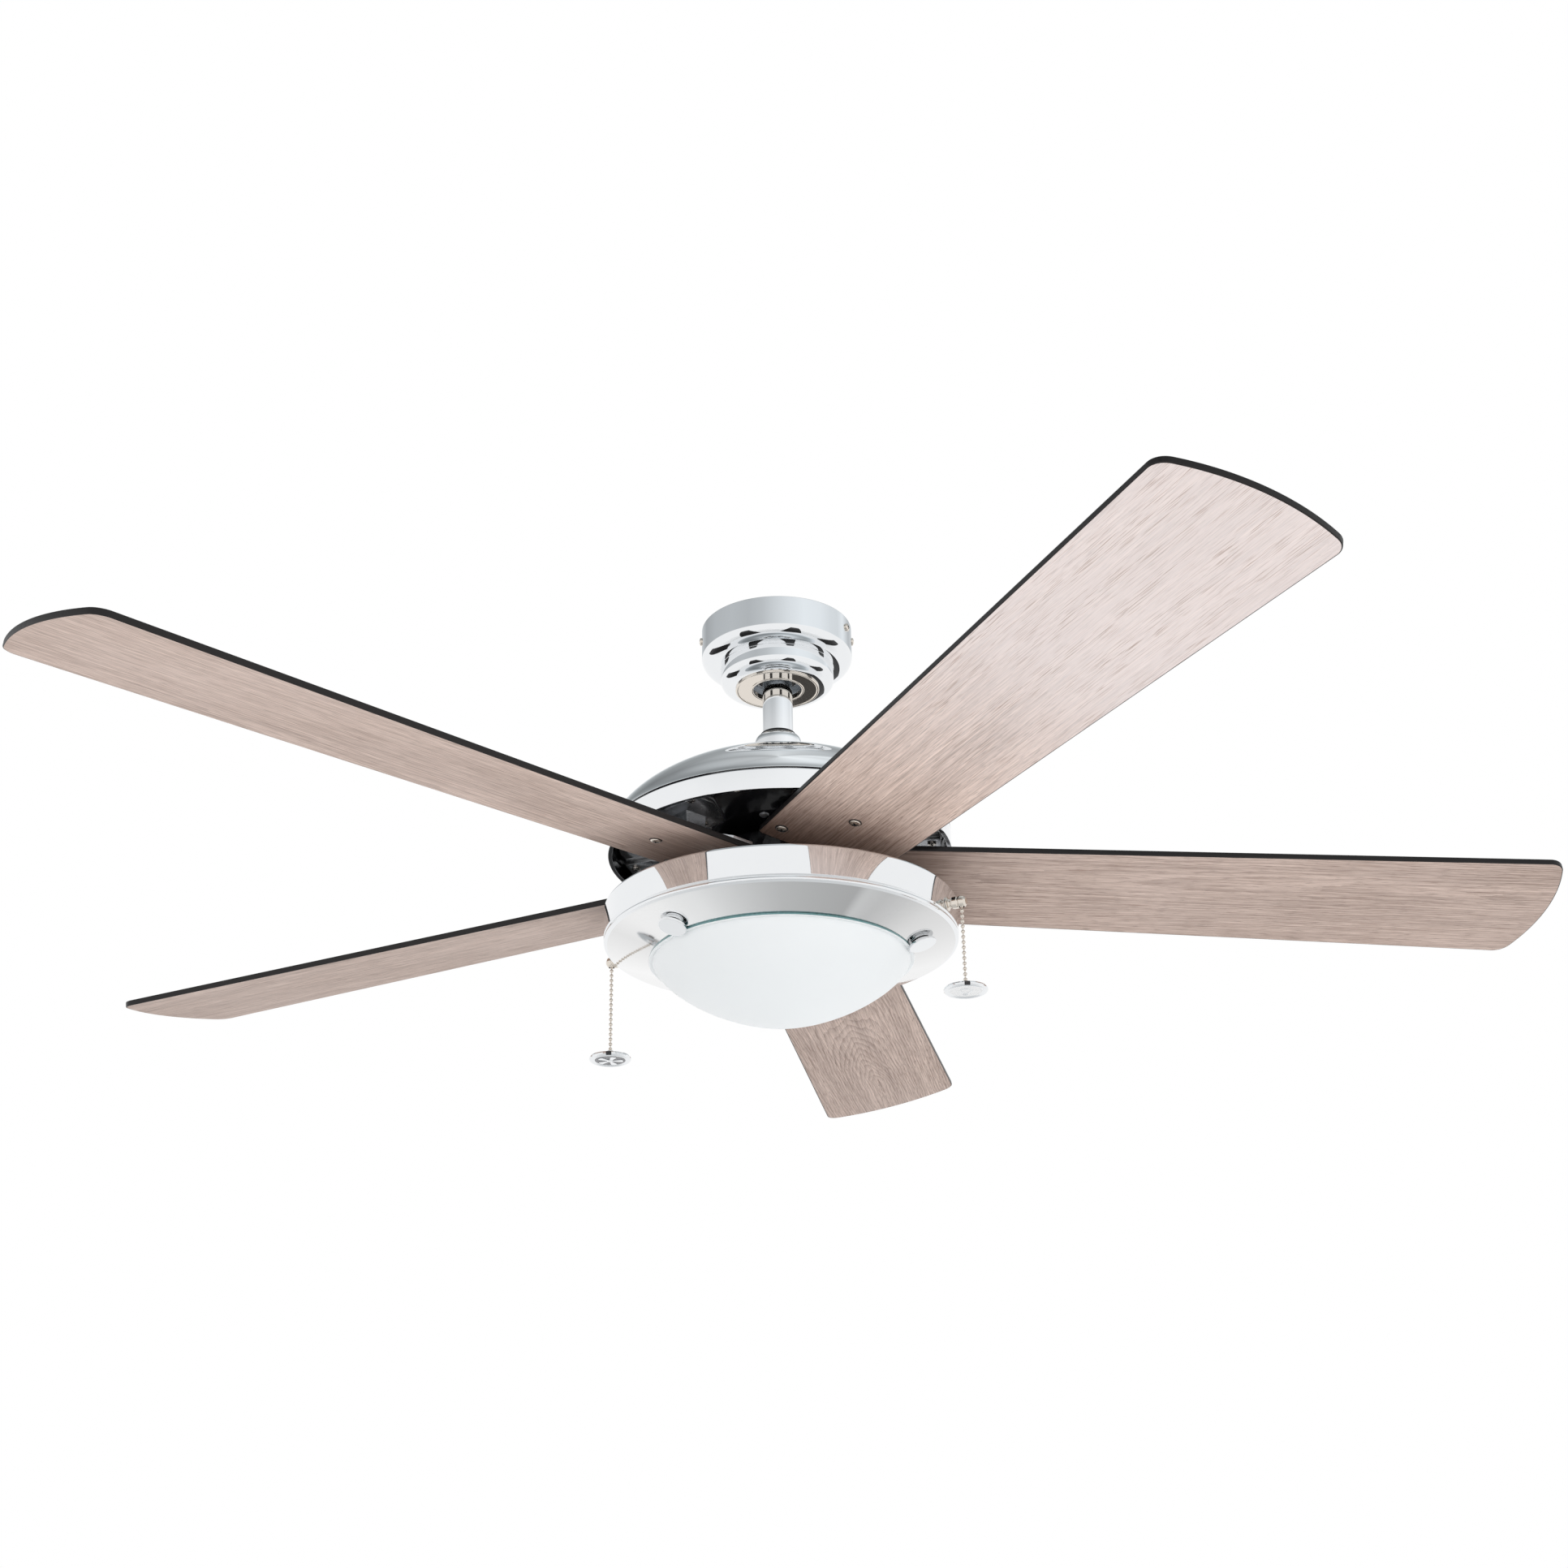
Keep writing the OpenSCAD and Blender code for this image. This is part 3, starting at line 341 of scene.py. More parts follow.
MATERIAL = {
    "chrome": plated("chrome", rgb(0.86, 0.875, 0.89), 0.02),
    "nickel": plated("nickel", rgb(0.76, 0.7, 0.63), 0.06),
    "zinc_steel": brushed("zinc_steel", rgb(0.6, 0.61, 0.63), 0.3),
    "black_metal": coated("black_metal", rgb(0.02, 0.02, 0.022), 0.4, 700, 0.00008),
    "black_gloss": coated("black_gloss", rgb(0.012, 0.012, 0.014), 0.1, 90, 0.00002, coat=1.0),
    "black_plastic": coated("black_plastic", rgb(0.02, 0.02, 0.022), 0.42, 900, 0.00006),
    "gasket_rubber": coated("gasket_rubber", rgb(0.015, 0.015, 0.016), 0.6, 700, 0.00005),
    "lamination_steel": laminations(),
    "copper_wire": windings(),
    "white_plastic": coated("white_plastic", rgb(0.82, 0.82, 0.79), 0.35, 600, 0.00003, spread=0.03),
    "white_metal": coated("white_metal", rgb(0.8, 0.8, 0.78), 0.4, 500, 0.00005, spread=0.03),
    "porcelain": coated("porcelain", rgb(0.82, 0.8, 0.75), 0.15, 60, 0.00004, coat=0.6, spread=0.03),
    "bulb_glass": bulb_glass(),
    "frosted_glass": frosted_glass(),
}
FOB_FACE = {"fan": brushed("pewter_face", rgb(0.3, 0.3, 0.31), 0.4),
            "light": coated("white_enamel", rgb(0.8, 0.8, 0.8), 0.3, 300, 0.00002, spread=0.04)}
GLASS_EDGE = glass_edge()
CHROME_PAINTED_REFLECTIONS = chrome_painted_reflections()
BLACK_LAMINATE = black_laminate()


# ---- Shapes ----
SEGMENTS = 192
CORNER_STEPS = 4
SOFT_TURN = radians(20)
SHARP_TURN = radians(50)


def arc(x, z, rx, rz, start, end, steps=12):
    """Points along part of an ellipse, from one angle in degrees to another."""
    turns = [radians(start + (end - start) * i / steps) for i in range(steps + 1)]
    return [(x + rx * cos(t), z + rz * sin(t)) for t in turns]


def softened(profile, radius, closed=True):
    """The profile with a small round at each corner, and a point either side that keeps the flats flat."""
    points = [Vector(p) for p in profile]
    made = []
    for i, here in enumerate(points):
        back, on = points[i - 1] - here, points[(i + 1) % len(points)] - here
        turn = math.pi - back.angle(on, math.pi)
        if (not closed and i in (0, len(points) - 1)) or here.x < 1e-6:
            made.append(here)
            continue
        if turn < SOFT_TURN:
            for near, far, order in ((on, back, 0), (back, on, 1)):
                guard = [here + far.normalized() * near.length] if far.length > 4 * near.length else []
                made += [guard, [here] + guard][order] if order or guard else []
            continue
        reach = min(radius * math.tan(min(turn, 2.6) / 2), 0.3 * back.length, 0.3 * on.length)
        start, end = here + back.normalized() * reach, here + on.normalized() * reach
        made.append(here + back.normalized() * reach * 1.5)
        for k in range(CORNER_STEPS + 1):
            t = k / CORNER_STEPS
            made.append(start * (1 - t) ** 2 + here * 2 * t * (1 - t) + end * t * t)
        made.append(here + on.normalized() * reach * 1.5)
    return [(p.x, p.y) for p in made]


def as_object(mesh_data, name, matrix=None):
    """A new object from a bmesh: smooth, with hard edges only where faces really meet at an angle."""
    bmesh.ops.recalc_face_normals(mesh_data, faces=mesh_data.faces)
    for face in mesh_data.faces:
        face.smooth = True
    for edge in mesh_data.edges:
        edge.smooth = len(edge.link_faces) != 2 or edge.calc_face_angle(0) < SHARP_TURN
    mesh = bpy.data.meshes.new(name)
    mesh_data.to_mesh(mesh)
    mesh_data.free()
    obj = bpy.data.objects.new(name, mesh)
    bpy.context.scene.collection.objects.link(obj)
    if matrix is not None:
        obj.matrix_world = matrix
    return obj


def turned(profile, segments=SEGMENTS, matrix=None, into=None):
    """A bmesh of a profile in mm, (radius, height), turned round Z. It closes on itself or on the axis."""
    mesh_data = into or bmesh.new()
    place = matrix or Matrix.Identity(4)
    angles = [2 * math.pi * i / segments for i in range(segments)]
    rings = []
    for r, z in profile:
        spots = angles if r > 1e-6 else [0.0]
        rings.append([mesh_data.verts.new(place @ Vector((r * cos(a) * MM, r * sin(a) * MM, z * MM)))
                      for a in spots])
    on_axis = len(rings[0]) == 1 and len(rings[-1]) == 1
    for lower, upper in zip(rings, rings[1:] if on_axis else rings[1:] + rings[:1]):
        for i in range(segments if len(lower) + len(upper) > 2 else 0):
            corners = [lower[i % len(lower)], lower[(i + 1) % len(lower)],
                       upper[(i + 1) % len(upper)], upper[i % len(upper)]]
            mesh_data.faces.new(list(dict.fromkeys(corners)))
    return mesh_data


def dress(obj, node, body=None, *materials):
    """obj rides on the node's body, stands for the node and has the node's finish unless others are given."""
    for material in materials or (MATERIAL[SLOT[node]],):
        obj.data.materials.append(material)
    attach(obj, body or BODY[node])
    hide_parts(node)
    return obj


def paint(obj, index, chosen):
    """Gives a material's index to the faces for which chosen(centre, normal) is true."""
    for face in obj.data.polygons:
        if chosen(face.center, face.normal):
            face.material_index = index


def lathe(name, node, profile, radius=0.4, matrix=None, segments=SEGMENTS, materials=()):
    closed = profile[0][0] > 1e-6 or profile[-1][0] > 1e-6
    shape = turned(softened(profile, radius, closed), segments)
    return dress(as_object(shape, name, matrix), node, None, *materials)


def discard(obj):
    """Removes a helper object and its mesh."""
    mesh = obj.data
    bpy.data.objects.remove(obj)
    bpy.data.meshes.remove(mesh)


def cut_away(obj, tool, overlapping=False):
    """A new mesh of the object with the tool's shape taken out. The tool is used up."""
    cut = obj.modifiers.new("cut", "BOOLEAN")
    cut.object = tool
    cut.solver = "EXACT"
    cut.use_self = overlapping
    bpy.context.view_layer.update()
    mesh = bpy.data.meshes.new_from_object(obj.evaluated_get(bpy.context.evaluated_depsgraph_get()))
    obj.modifiers.clear()
    discard(tool)
    return mesh


def drilled(obj, at, radius, low, high):
    """Bores an upright blind hole into an undressed piece, from low to high in mm, for what runs in it."""
    bit = [(0, low), (radius, low), (radius, high), (0, high)]
    mesh = cut_away(obj, as_object(turned(bit, 32, Matrix.Translation(at)), "bit"))
    obj.data = mesh
    shape = bmesh.new()
    shape.from_mesh(mesh)
    for edge in shape.edges:
        edge.smooth = len(edge.link_faces) != 2 or edge.calc_face_angle(0) < SHARP_TURN
    shape.to_mesh(mesh)
    shape.free()
    return obj


def rounded_copy(node, width=0.35):
    """A CAD node with its flat faces made whole and its edges rounded."""
    shape = bmesh.new()
    shape.from_mesh(frame["nodes"][node].data)
    bmesh.ops.remove_doubles(shape, verts=shape.verts, dist=1e-6)
    bmesh.ops.dissolve_limit(shape, angle_limit=radians(0.5), verts=shape.verts, edges=shape.edges)
    obj = as_object(shape, node + "_rounded")
    for edge in obj.data.edges:
        edge.use_edge_sharp = False
    rounding = obj.modifiers.new("rounding", "BEVEL")
    rounding.width = width * MM
    rounding.segments = 2
    rounding.limit_method = "ANGLE"
    rounding.angle_limit = radians(35)
    rounding.harden_normals = True
    return dress(obj, node)


def turn_z(degrees):
    return Matrix.Rotation(radians(degrees), 4, "Z")


def turn_x(degrees):
    return Matrix.Rotation(radians(degrees), 4, "X")


def turn_y(degrees):
    return Matrix.Rotation(radians(degrees), 4, "Y")


def shift(x=0.0, y=0.0, z=0.0):
    """A translation in mm."""
    return Matrix.Translation((x * MM, y * MM, z * MM))


def size_mm(node):
    """(largest radius along X, lowest, highest) of a CAD node, in mm."""
    low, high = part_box(node)
    return high.x / MM, low.z / MM, high.z / MM


# ---- Pull chains ----
CHAIN_X = 155.5
CHAIN_R = 1.6
BEAD_PITCH = 4.25
CHAINS = {"fan": 166, "light": -14}
FOB_R = 17.2


def bead_chain(name, angle):
    """Hollow beads on short pins, straight down from the bell to the fob."""
    _, low, high = size_mm(name + "_chain")
    spot = turn_z(angle) @ Vector((CHAIN_X * MM, 0, 0))
    steps = 16
    route = [(spot.x, spot.y, (high + (low - high) * i / steps) * MM) for i in range(steps + 1)]
    shape = bmesh.new()
    count = round((high - low) / BEAD_PITCH)
    pitch = (high - low - 2 * CHAIN_R) / (count - 1)
    bead = [(CHAIN_R * cos(radians(a)) if abs(a) < 90 else 0, CHAIN_R * sin(radians(a)))
            for a in range(-90, 91, 20)]
    upright = Matrix.Translation((spot.x, spot.y, 0))
    for i in range(count):
        turned(bead, 16, upright @ shift(z=high - CHAIN_R - i * pitch), shape)
    pin_r, short = 0.5, 0.6
    pin = [(0, low + short), (pin_r, low + short), (pin_r, high - short), (0, high - short)]
    turned(pin, 8, upright, shape)
    chain = dress(as_object(shape, name + "_bead_chain"), name + "_chain")
    return chain, route


def strip(points, radius, sides=8, closed=False):
    """A bmesh tube along points in mm."""
    shape = bmesh.new()
    rings = []
    count = len(points)
    for i, here in enumerate(points):
        before = points[i - 1] if i or closed else here
        after = points[(i + 1) % count] if i < count - 1 or closed else here
        ahead = (Vector(after) - Vector(before)).normalized()
        side = ahead.cross(Vector((0, 0, 1))).normalized()
        over = side.cross(ahead)
        rings.append([shape.verts.new((Vector(here) + (side * cos(t) + over * sin(t)) * radius) * MM)
                      for t in (2 * math.pi * k / sides for k in range(sides))])
    for a, b in zip(rings, rings[1:] + rings[:1] if closed else rings[1:]):
        for k in range(sides):
            m = (k + 1) % sides
            shape.faces.new((a[k], a[m], b[m], b[k]))
    if not closed:
        shape.faces.new(rings[0])
        shape.faces.new(list(reversed(rings[-1])))
    return shape


def joined(shapes):
    """One bmesh from several."""
    whole = bmesh.new()
    for shape in shapes:
        part = bpy.data.meshes.new("part")
        shape.to_mesh(part)
        shape.free()
        whole.from_mesh(part)
        bpy.data.meshes.remove(part)
    return whole


def prism(outline, low, high, into=None, matrix=None):
    """A bmesh prism from an outline of (x, y) in mm, between two heights."""
    shape = into or bmesh.new()
    place = matrix or Matrix.Identity(4)
    rings = [[shape.verts.new(place @ Vector((x * MM, y * MM, z * MM))) for x, y in outline]
             for z in (low, high)]
    count = len(outline)
    for i in range(count):
        j = (i + 1) % count
        shape.faces.new((rings[0][i], rings[0][j], rings[1][j], rings[1][i]))
    shape.faces.new(list(reversed(rings[0])))
    shape.faces.new(rings[1])
    return shape


def fan_sign(face):
    """A small five-bladed fan, raised from the fob's face."""
    shape = bmesh.new()
    paddle = [(2.2, -0.9), (9.6, -2.6), (10.6, -1.6), (10.6, 1.6), (9.6, 2.6), (2.2, 0.9)]
    for i in range(5):
        prism(paddle, face - 0.7, face + 0.2, shape, turn_z(72 * i + 20))
    hub = [(0, face - 1), (1.8, face - 1), (2.6, face - 0.5), (2.6, face + 0.2), (0, face + 0.2)]
    turned(hub, 32, None, shape)
    return [shape]


def bulb_sign(face):
    """The outline of a light bulb, raised from the fob's face."""
    ball = [(1.6 + 4.6 * cos(radians(a)), 4.6 * sin(radians(a)), face) for a in range(-140, 141, 20)]
    outline = [(-5.4, -1.9, face)] + ball + [(-5.4, 1.9, face)]
    bars = [[(x, -1.9, face), (x, 1.9, face)] for x in (-5.4, -7.0, -8.4)]
    return [strip(outline, 0.55)] + [strip(bar, 0.5) for bar in bars]


def fob(name, angle, sign):
    """A coin-like fob: rolled rim, dished face with a sign, and a sleeve that grips the chain."""
    _, low, high = size_mm(name + "_fob")
    top = high - 5
    depth = top - low
    face = -depth + 1
    profile = [(0, face), (12.6, face), (13.4, face - 0.1), (14.2, -depth + 0.1), (15.2, -depth),
               (16.4, -depth + 0.5), (FOB_R, -depth + 1.6), (FOB_R, -1.5), (16.2, -0.3), (14.6, 0),
               (5, 0.1), (3.4, 0.7), (2.9, 1.6), (2.8, 4.4), (2.2, 5), (1.95, 5), (1.95, 0.6), (0, 0.6)]
    body = turned(softened(profile, 0.3, False), 96)
    whole = as_object(joined([body] + sign(face)), name + "_medallion",
                      turn_z(angle) @ shift(CHAIN_X, 0, top) @ turn_z(-angle - 79.9))
    dress(whole, name + "_fob", None, MATERIAL["chrome"], FOB_FACE[name], MATERIAL["black_plastic"])
    flat = (face - 0.05) * MM
    paint(whole, 1, lambda c, n: math.hypot(c.x, c.y) < 12.9 * MM and n.z < -0.9 and c.z > flat)
    # Painted shade: a dark patch on the rim where the chain's notch sits, standing for the notch's shade.
    paint(whole, 2, lambda c, n: math.hypot(c.x, c.y) > 16 * MM and abs(math.atan2(c.y, c.x)) < radians(7))
    return whole


for name, angle in CHAINS.items():
    made_chain, route = bead_chain(name, angle)
    medallion = fob(name, angle, fan_sign if name == "fan" else bulb_sign)


# ---- Canopy, rod and coupling ----
def ceiling_fittings():
    wall_r, bottom, _ = size_mm("canopy")
    sheet = 1.2
    shoulder_r, shoulder_z, step_z = 50, -26, -36
    tier_r, tier_z, lip_r, hole_r = 48, bottom + 8, 36, 22.2
    over, drop = wall_r - shoulder_r, shoulder_z - step_z
    outside = ([(wall_r, 0)] + arc(shoulder_r, shoulder_z, over, drop, 0, -90, 20)
               + [(tier_r, step_z)] + arc(lip_r, tier_z, tier_r - lip_r, tier_z - bottom, 0, -90, 16)
               + [(hole_r, bottom)])
    inside = ([(wall_r - sheet, 0)]
              + arc(shoulder_r, shoulder_z, over - sheet, drop - sheet, 0, -90, 20)
              + [(tier_r - sheet, step_z + sheet)]
              + arc(lip_r, tier_z, tier_r - lip_r - sheet, tier_z - bottom - sheet, 0, -90, 16)
              + [(hole_r, bottom + sheet)])
    lathe("canopy_shell", "canopy", outside + inside[::-1], 0.35)
    ring_r, ring_z, ring_top = size_mm("canopy_ring")
    bore_r, bead = 20.5, 2.4
    face_z = ring_z + 0.6
    lathe("canopy_ring_plate", "canopy_ring",
          [(bore_r, ring_top)] + arc(bore_r + bead / 2, face_z, bead / 2, 0.6, 180, 360, 10)
          + arc(ring_r - bead / 2, face_z, bead / 2, 0.6, 180, 360, 10)
          + [(ring_r, bottom), (bore_r + 1.4, bottom), (bore_r + 1.4, ring_top)], 0.2)
    rod_r, rod_z, rod_top = size_mm("downrod")
    rod_bore_r = rod_r - 1.8
    lathe("downrod_tube", "downrod", [
        (rod_r, rod_z), (rod_r, rod_top), (rod_bore_r, rod_top), (rod_bore_r, rod_z)])
    ball_z, ball_r, ball_bore_r = -32, 22, rod_r + 0.05
    lathe("hanger_ball_turned", "hanger_ball",
          [(ball_bore_r, -48.5)] + arc(0, ball_z, ball_r, ball_r, -48.59, 54.9, 24) + [(ball_bore_r, -14)],
          0.5, segments=96)
    cover_r, cover_z, cover_top = size_mm("coupling_cover")
    neck_r, bend_h, wall = 16, 6, 1
    lathe("coupling_cup", "coupling_cover",
          [(cover_r, cover_z)] + arc(neck_r, cover_top - bend_h, cover_r - neck_r, bend_h, 0, 90, 16)
          + [(rod_r + 0.2, cover_top), (rod_r + 0.2, cover_top - wall)]
          + arc(neck_r, cover_top - bend_h, cover_r - neck_r - wall, bend_h - wall, 90, 0, 16)
          + [(cover_r - wall, cover_z)], 0.3)


# ---- Motor housing ----
def housing():
    rim_r, rim_z, top = size_mm("housing_dome")
    flat_r, power, sheet, hole_r = 30, 0.65, 1.2, 16.9
    rise = (top - rim_z) / (1 - (flat_r / rim_r) ** 2) ** power

    def curve(inset, steps=64):
        edge = rim_r - inset
        start = math.asin(flat_r / edge)
        radii = [edge * sin(start + (math.pi / 2 - start) * i / steps) for i in range(steps + 1)]
        return [(r, rim_z + (rise - inset) * max(0.0, 1 - (r / edge) ** 2) ** power) for r in radii]

    lathe("dome_shell", "housing_dome",
          [(hole_r, top)] + curve(0) + curve(sheet)[::-1] + [(hole_r, top - sheet)], 0.4, segments=256)
    band_r, low, high = size_mm("housing_band")
    seam_z = rim_z - 1.4
    neck_r, wall = rim_r - sheet - 0.2, 1.4
    neck_top_r = neck_r * math.sqrt(1 - ((high - rim_z) / (top - rim_z)) ** (1 / power))
    band = lathe("band_ring", "housing_band", [
        (neck_top_r, high), (neck_r, rim_z), (neck_r, seam_z), (band_r, seam_z), (band_r, low),
        (band_r - 3.4, low), (band_r - 3.4, low + 1.2), (band_r - wall, low + 1.2),
        (band_r - wall, seam_z - 3), (neck_r - wall, seam_z - 4), (neck_r - wall, rim_z),
        (neck_top_r - wall, high)], 0.5, segments=256,
        materials=(MATERIAL["chrome"], MATERIAL["black_gloss"]))
    # Black gloss inside the band and on the neck above the seam; on the neck it is painted shade, so that the
    # seam shows as a dark line.
    paint(band, 1, lambda c, n: math.hypot(c.x, c.y) < (neck_r + 0.2) * MM and c.z > (low + 0.3) * MM)
    wheel_r, wheel_z, wheel_top = size_mm("flywheel")
    web = wheel_z + 2
    lathe("flywheel_disc", "flywheel", [
        (24, wheel_z), (wheel_r, wheel_z), (wheel_r, wheel_top), (wheel_r - 1.5, wheel_top),
        (wheel_r - 1.5, web), (24, web)], 0.6)


# ---- Light kit ----
def light_kit():
    pan_r, mouth_z, top = size_mm("light_pan")
    sheet, step = 1.2, 1.2
    band_low, cone_r, cone_z, mouth_r = -282, 141, -287.5, 103
    outside = ([(130, top)] + arc(pan_r - 2, top - 2, 2, 2, 90, 0, 8)
               + [(pan_r, band_low), (pan_r - step, band_low - step)]
               + arc(pan_r - 2, band_low - 3, 1.8, 1.9, 40, -60, 12)
               + [(cone_r - 0.6, cone_z), (mouth_r, mouth_z), (mouth_r, mouth_z + 6)])
    inside = [(130, top - sheet), (pan_r - 2.2, top - sheet), (pan_r - sheet, top - 2.2),
              (pan_r - sheet, band_low + 0.2), (pan_r - 3.2, band_low - 2), (pan_r - 3.6, cone_z + 1.2),
              (mouth_r + sheet, mouth_z + sheet + 0.4), (mouth_r + sheet, mouth_z + 6)]
    shell = lathe("light_pan_shell", "light_pan", outside + inside[::-1], 0.3, segments=256,
                  materials=(MATERIAL["chrome"], CHROME_PAINTED_REFLECTIONS))
    # The cone's downward faces take the chrome with painted reflections.
    cone_from, cone_to = (mouth_r + 0.4) * MM, (cone_r - 0.3) * MM
    paint(shell, 1, lambda c, n: n.z < -0.6 and cone_from < math.hypot(c.x, c.y) < cone_to)

    glass_r, low, glass_top = size_mm("glass_bowl")
    rim_z, flange, thick, seat_gap = -301.3, 3, 3.2, 0.1
    slope = math.atan2(cone_z - mouth_z, cone_r - mouth_r)
    depth = rim_z - low

    def bowl(edge, z, deep, steps=48):
        radii = [edge * cos(math.pi / 2 * i / steps) for i in range(steps)] + [0.0]
        return [(r, z - deep * max(0.0, 1 - (r / edge) ** 1.55) ** 0.71) for r in radii]

    wall_r = glass_r - flange
    profile = (bowl(wall_r, rim_z, depth)[::-1]
               + [(glass_r, rim_z), (glass_r, glass_top), (mouth_r, mouth_z - seat_gap),
                  (wall_r - thick - 0.3, mouth_z - seat_gap)]
               + bowl(wall_r - thick - 0.3, rim_z + 0.2, depth - thick + 0.2))
    glass = lathe("glass_shade", "glass_bowl", profile, 0.3, segments=256,
                  materials=(MATERIAL["frosted_glass"], GLASS_EDGE))
    paint(glass, 1, lambda c, n: math.hypot(c.x, c.y) > (glass_r - 0.6) * MM and c.z > (rim_z + 0.9) * MM)

    clip_r, disc_r, disc_t, off, post_r = 115.5, 11.3, 2, 2.4, 7.6
    clip_z = cone_z - (cone_r - clip_r) * math.tan(slope)
    for k, angle in enumerate((114, 234, 354)):
        place = turn_z(angle) @ shift(clip_r, 0, clip_z) @ turn_y(180 - math.degrees(slope))
        lathe(f"glass_clip_{k + 1}_disc", f"glass_clip_{k + 1}", [
            (0, -8), (2.4, -8), (2.4, 0.3), (post_r, 0.3), (post_r, off), (disc_r, off),
            (disc_r, off + disc_t), (0, off + disc_t)], 0.4, place, 96)

    reach, inner, wall = 160, pan_r - 3, pan_r + 0.05
    profile = [
        (0, inner), (3.2, inner), (3.2, wall), (5.6, wall), (5.6, wall + 1), (4.1, wall + 1.7),
        (3.5, wall + 2.4), (3.5, wall + 3.6), (4.5, wall + 4.2), (4.9, wall + 5), (4.9, wall + 8.6),
        (4.3, wall + 9.2), (4.3, wall + 10), (4.9, wall + 10.6), (4.9, wall + 12.6), (4.3, wall + 14.4),
        (2.8, wall + 15.8), (0, reach)]
    bell_z, hole_r, hole_low, hole_top = -276, 2.4, -286, -272.8
    for name, angle in CHAINS.items():
        place = turn_z(angle) @ shift(0, 0, bell_z) @ turn_y(90)
        guide = as_object(turned(softened(profile, 0.3, False), 64), name + "_chain_guide", place)
        spot = turn_z(angle) @ Vector((CHAIN_X * MM, 0, 0))
        dress(drilled(guide, spot, hole_r, hole_low, hole_top), name + "_chain_bell")


# ---- Blades ----
BLADE_PITCH = 11.2
BLADE_DEPTH = 231.5
BLADE_T = 4.8
BORDER = 0.9
SWEEP_R, ROOT_R, ROOT_HALF, TIP_HALF = 660, 66, 52.7, 69
BLADE_ANGLES = [90 + 72 * i for i in range(5)]
GRAIN = [
    # heart_y, heart_depth, taper, tone with painted light, figure, knot_x, painted sheen for each blade
    (0.004, 0.005, 0.14, 1.06, 0.5, 0.56, 0.0),
    (0.060, 0.030, 0.012, 1.06, 0.32, 0.7, 0.0),
    (-0.055, 0.030, 0.016, 1.22, 0.3, 0.7, 0.0),
    # blade 4: the lightest copy, with the painted sheen
    (0.070, 0.040, 0.010, 1.36, 0.26, 0.7, 0.68),
    (-0.020, 0.024, 0.018, 1.08, 0.36, 0.7, 0.0),
]


def blade_frame(angle):
    """The frame of a blade: X along it, Y across it, Z out of its upper face."""
    return turn_z(angle) @ shift(z=-BLADE_DEPTH) @ turn_x(-BLADE_PITCH)


def blade_outline(inset):
    """The blade's outline in mm, anticlockwise, at an inset from its edge."""
    root_r, tip_r, arc_r = 5, 14, 180
    middle = SWEEP_R - arc_r
    corner_y = TIP_HALF - tip_r - 0.3
    corner_x = middle + math.sqrt((arc_r - tip_r) ** 2 - corner_y ** 2)
    lean = math.degrees(math.atan2(corner_y, corner_x - middle))
    half = (arc(ROOT_R + root_r, ROOT_HALF - root_r, root_r - inset, root_r - inset, 180, 90, 8)
            + arc(corner_x, corner_y, tip_r - inset, tip_r - inset, 90, lean, 10)
            + arc(middle, 0, arc_r - inset, arc_r - inset, lean, 0, 14)[1:])
    return [(x, -y) for x, y in half] + half[-2::-1]


def blade(number, angle):
    """A blade with rounded edges, printed wood below and black foil above."""
    shape = bmesh.new()
    round_r, half_way = 0.7, 0.2
    layers = [(BORDER, 0), (round_r, 0), (half_way, half_way), (0, round_r), (0, BLADE_T - round_r),
              (half_way, BLADE_T - half_way), (round_r, BLADE_T)]
    rings = [[shape.verts.new((x * MM, y * MM, z * MM)) for x, y in blade_outline(inset)]
             for inset, z in layers]
    count = len(rings[0])
    for low, high in zip(rings, rings[1:]):
        for i in range(count):
            j = (i + 1) % count
            shape.faces.new((low[i], low[j], high[j], high[i]))
    half = count // 2
    for ring in (rings[0], rings[-1]):
        for i in range(half):
            corners = [ring[i], ring[i + 1], ring[count - 2 - i], ring[count - 1 - i]]
            corners = list(dict.fromkeys(corners))
            if len(corners) > 2:
                shape.faces.new(corners)
    obj = as_object(shape, f"blade_{number}_board", blade_frame(angle))
    for edge in obj.data.edges:
        edge.use_edge_sharp = False
    weights = obj.modifiers.new("even_shading", "WEIGHTED_NORMAL")
    weights.weight = 100
    wood = wood_print(f"blade_wood_{number}", number * 3.1, *GRAIN[number - 1])
    dress(obj, f"blade_{number}", None, wood, BLACK_LAMINATE)
    edge_faces = (len(rings) - 1) * count
    for face in obj.data.polygons:
        face.material_index = 0 if face.index >= edge_faces and face.center.z < BLADE_T * MM / 2 else 1


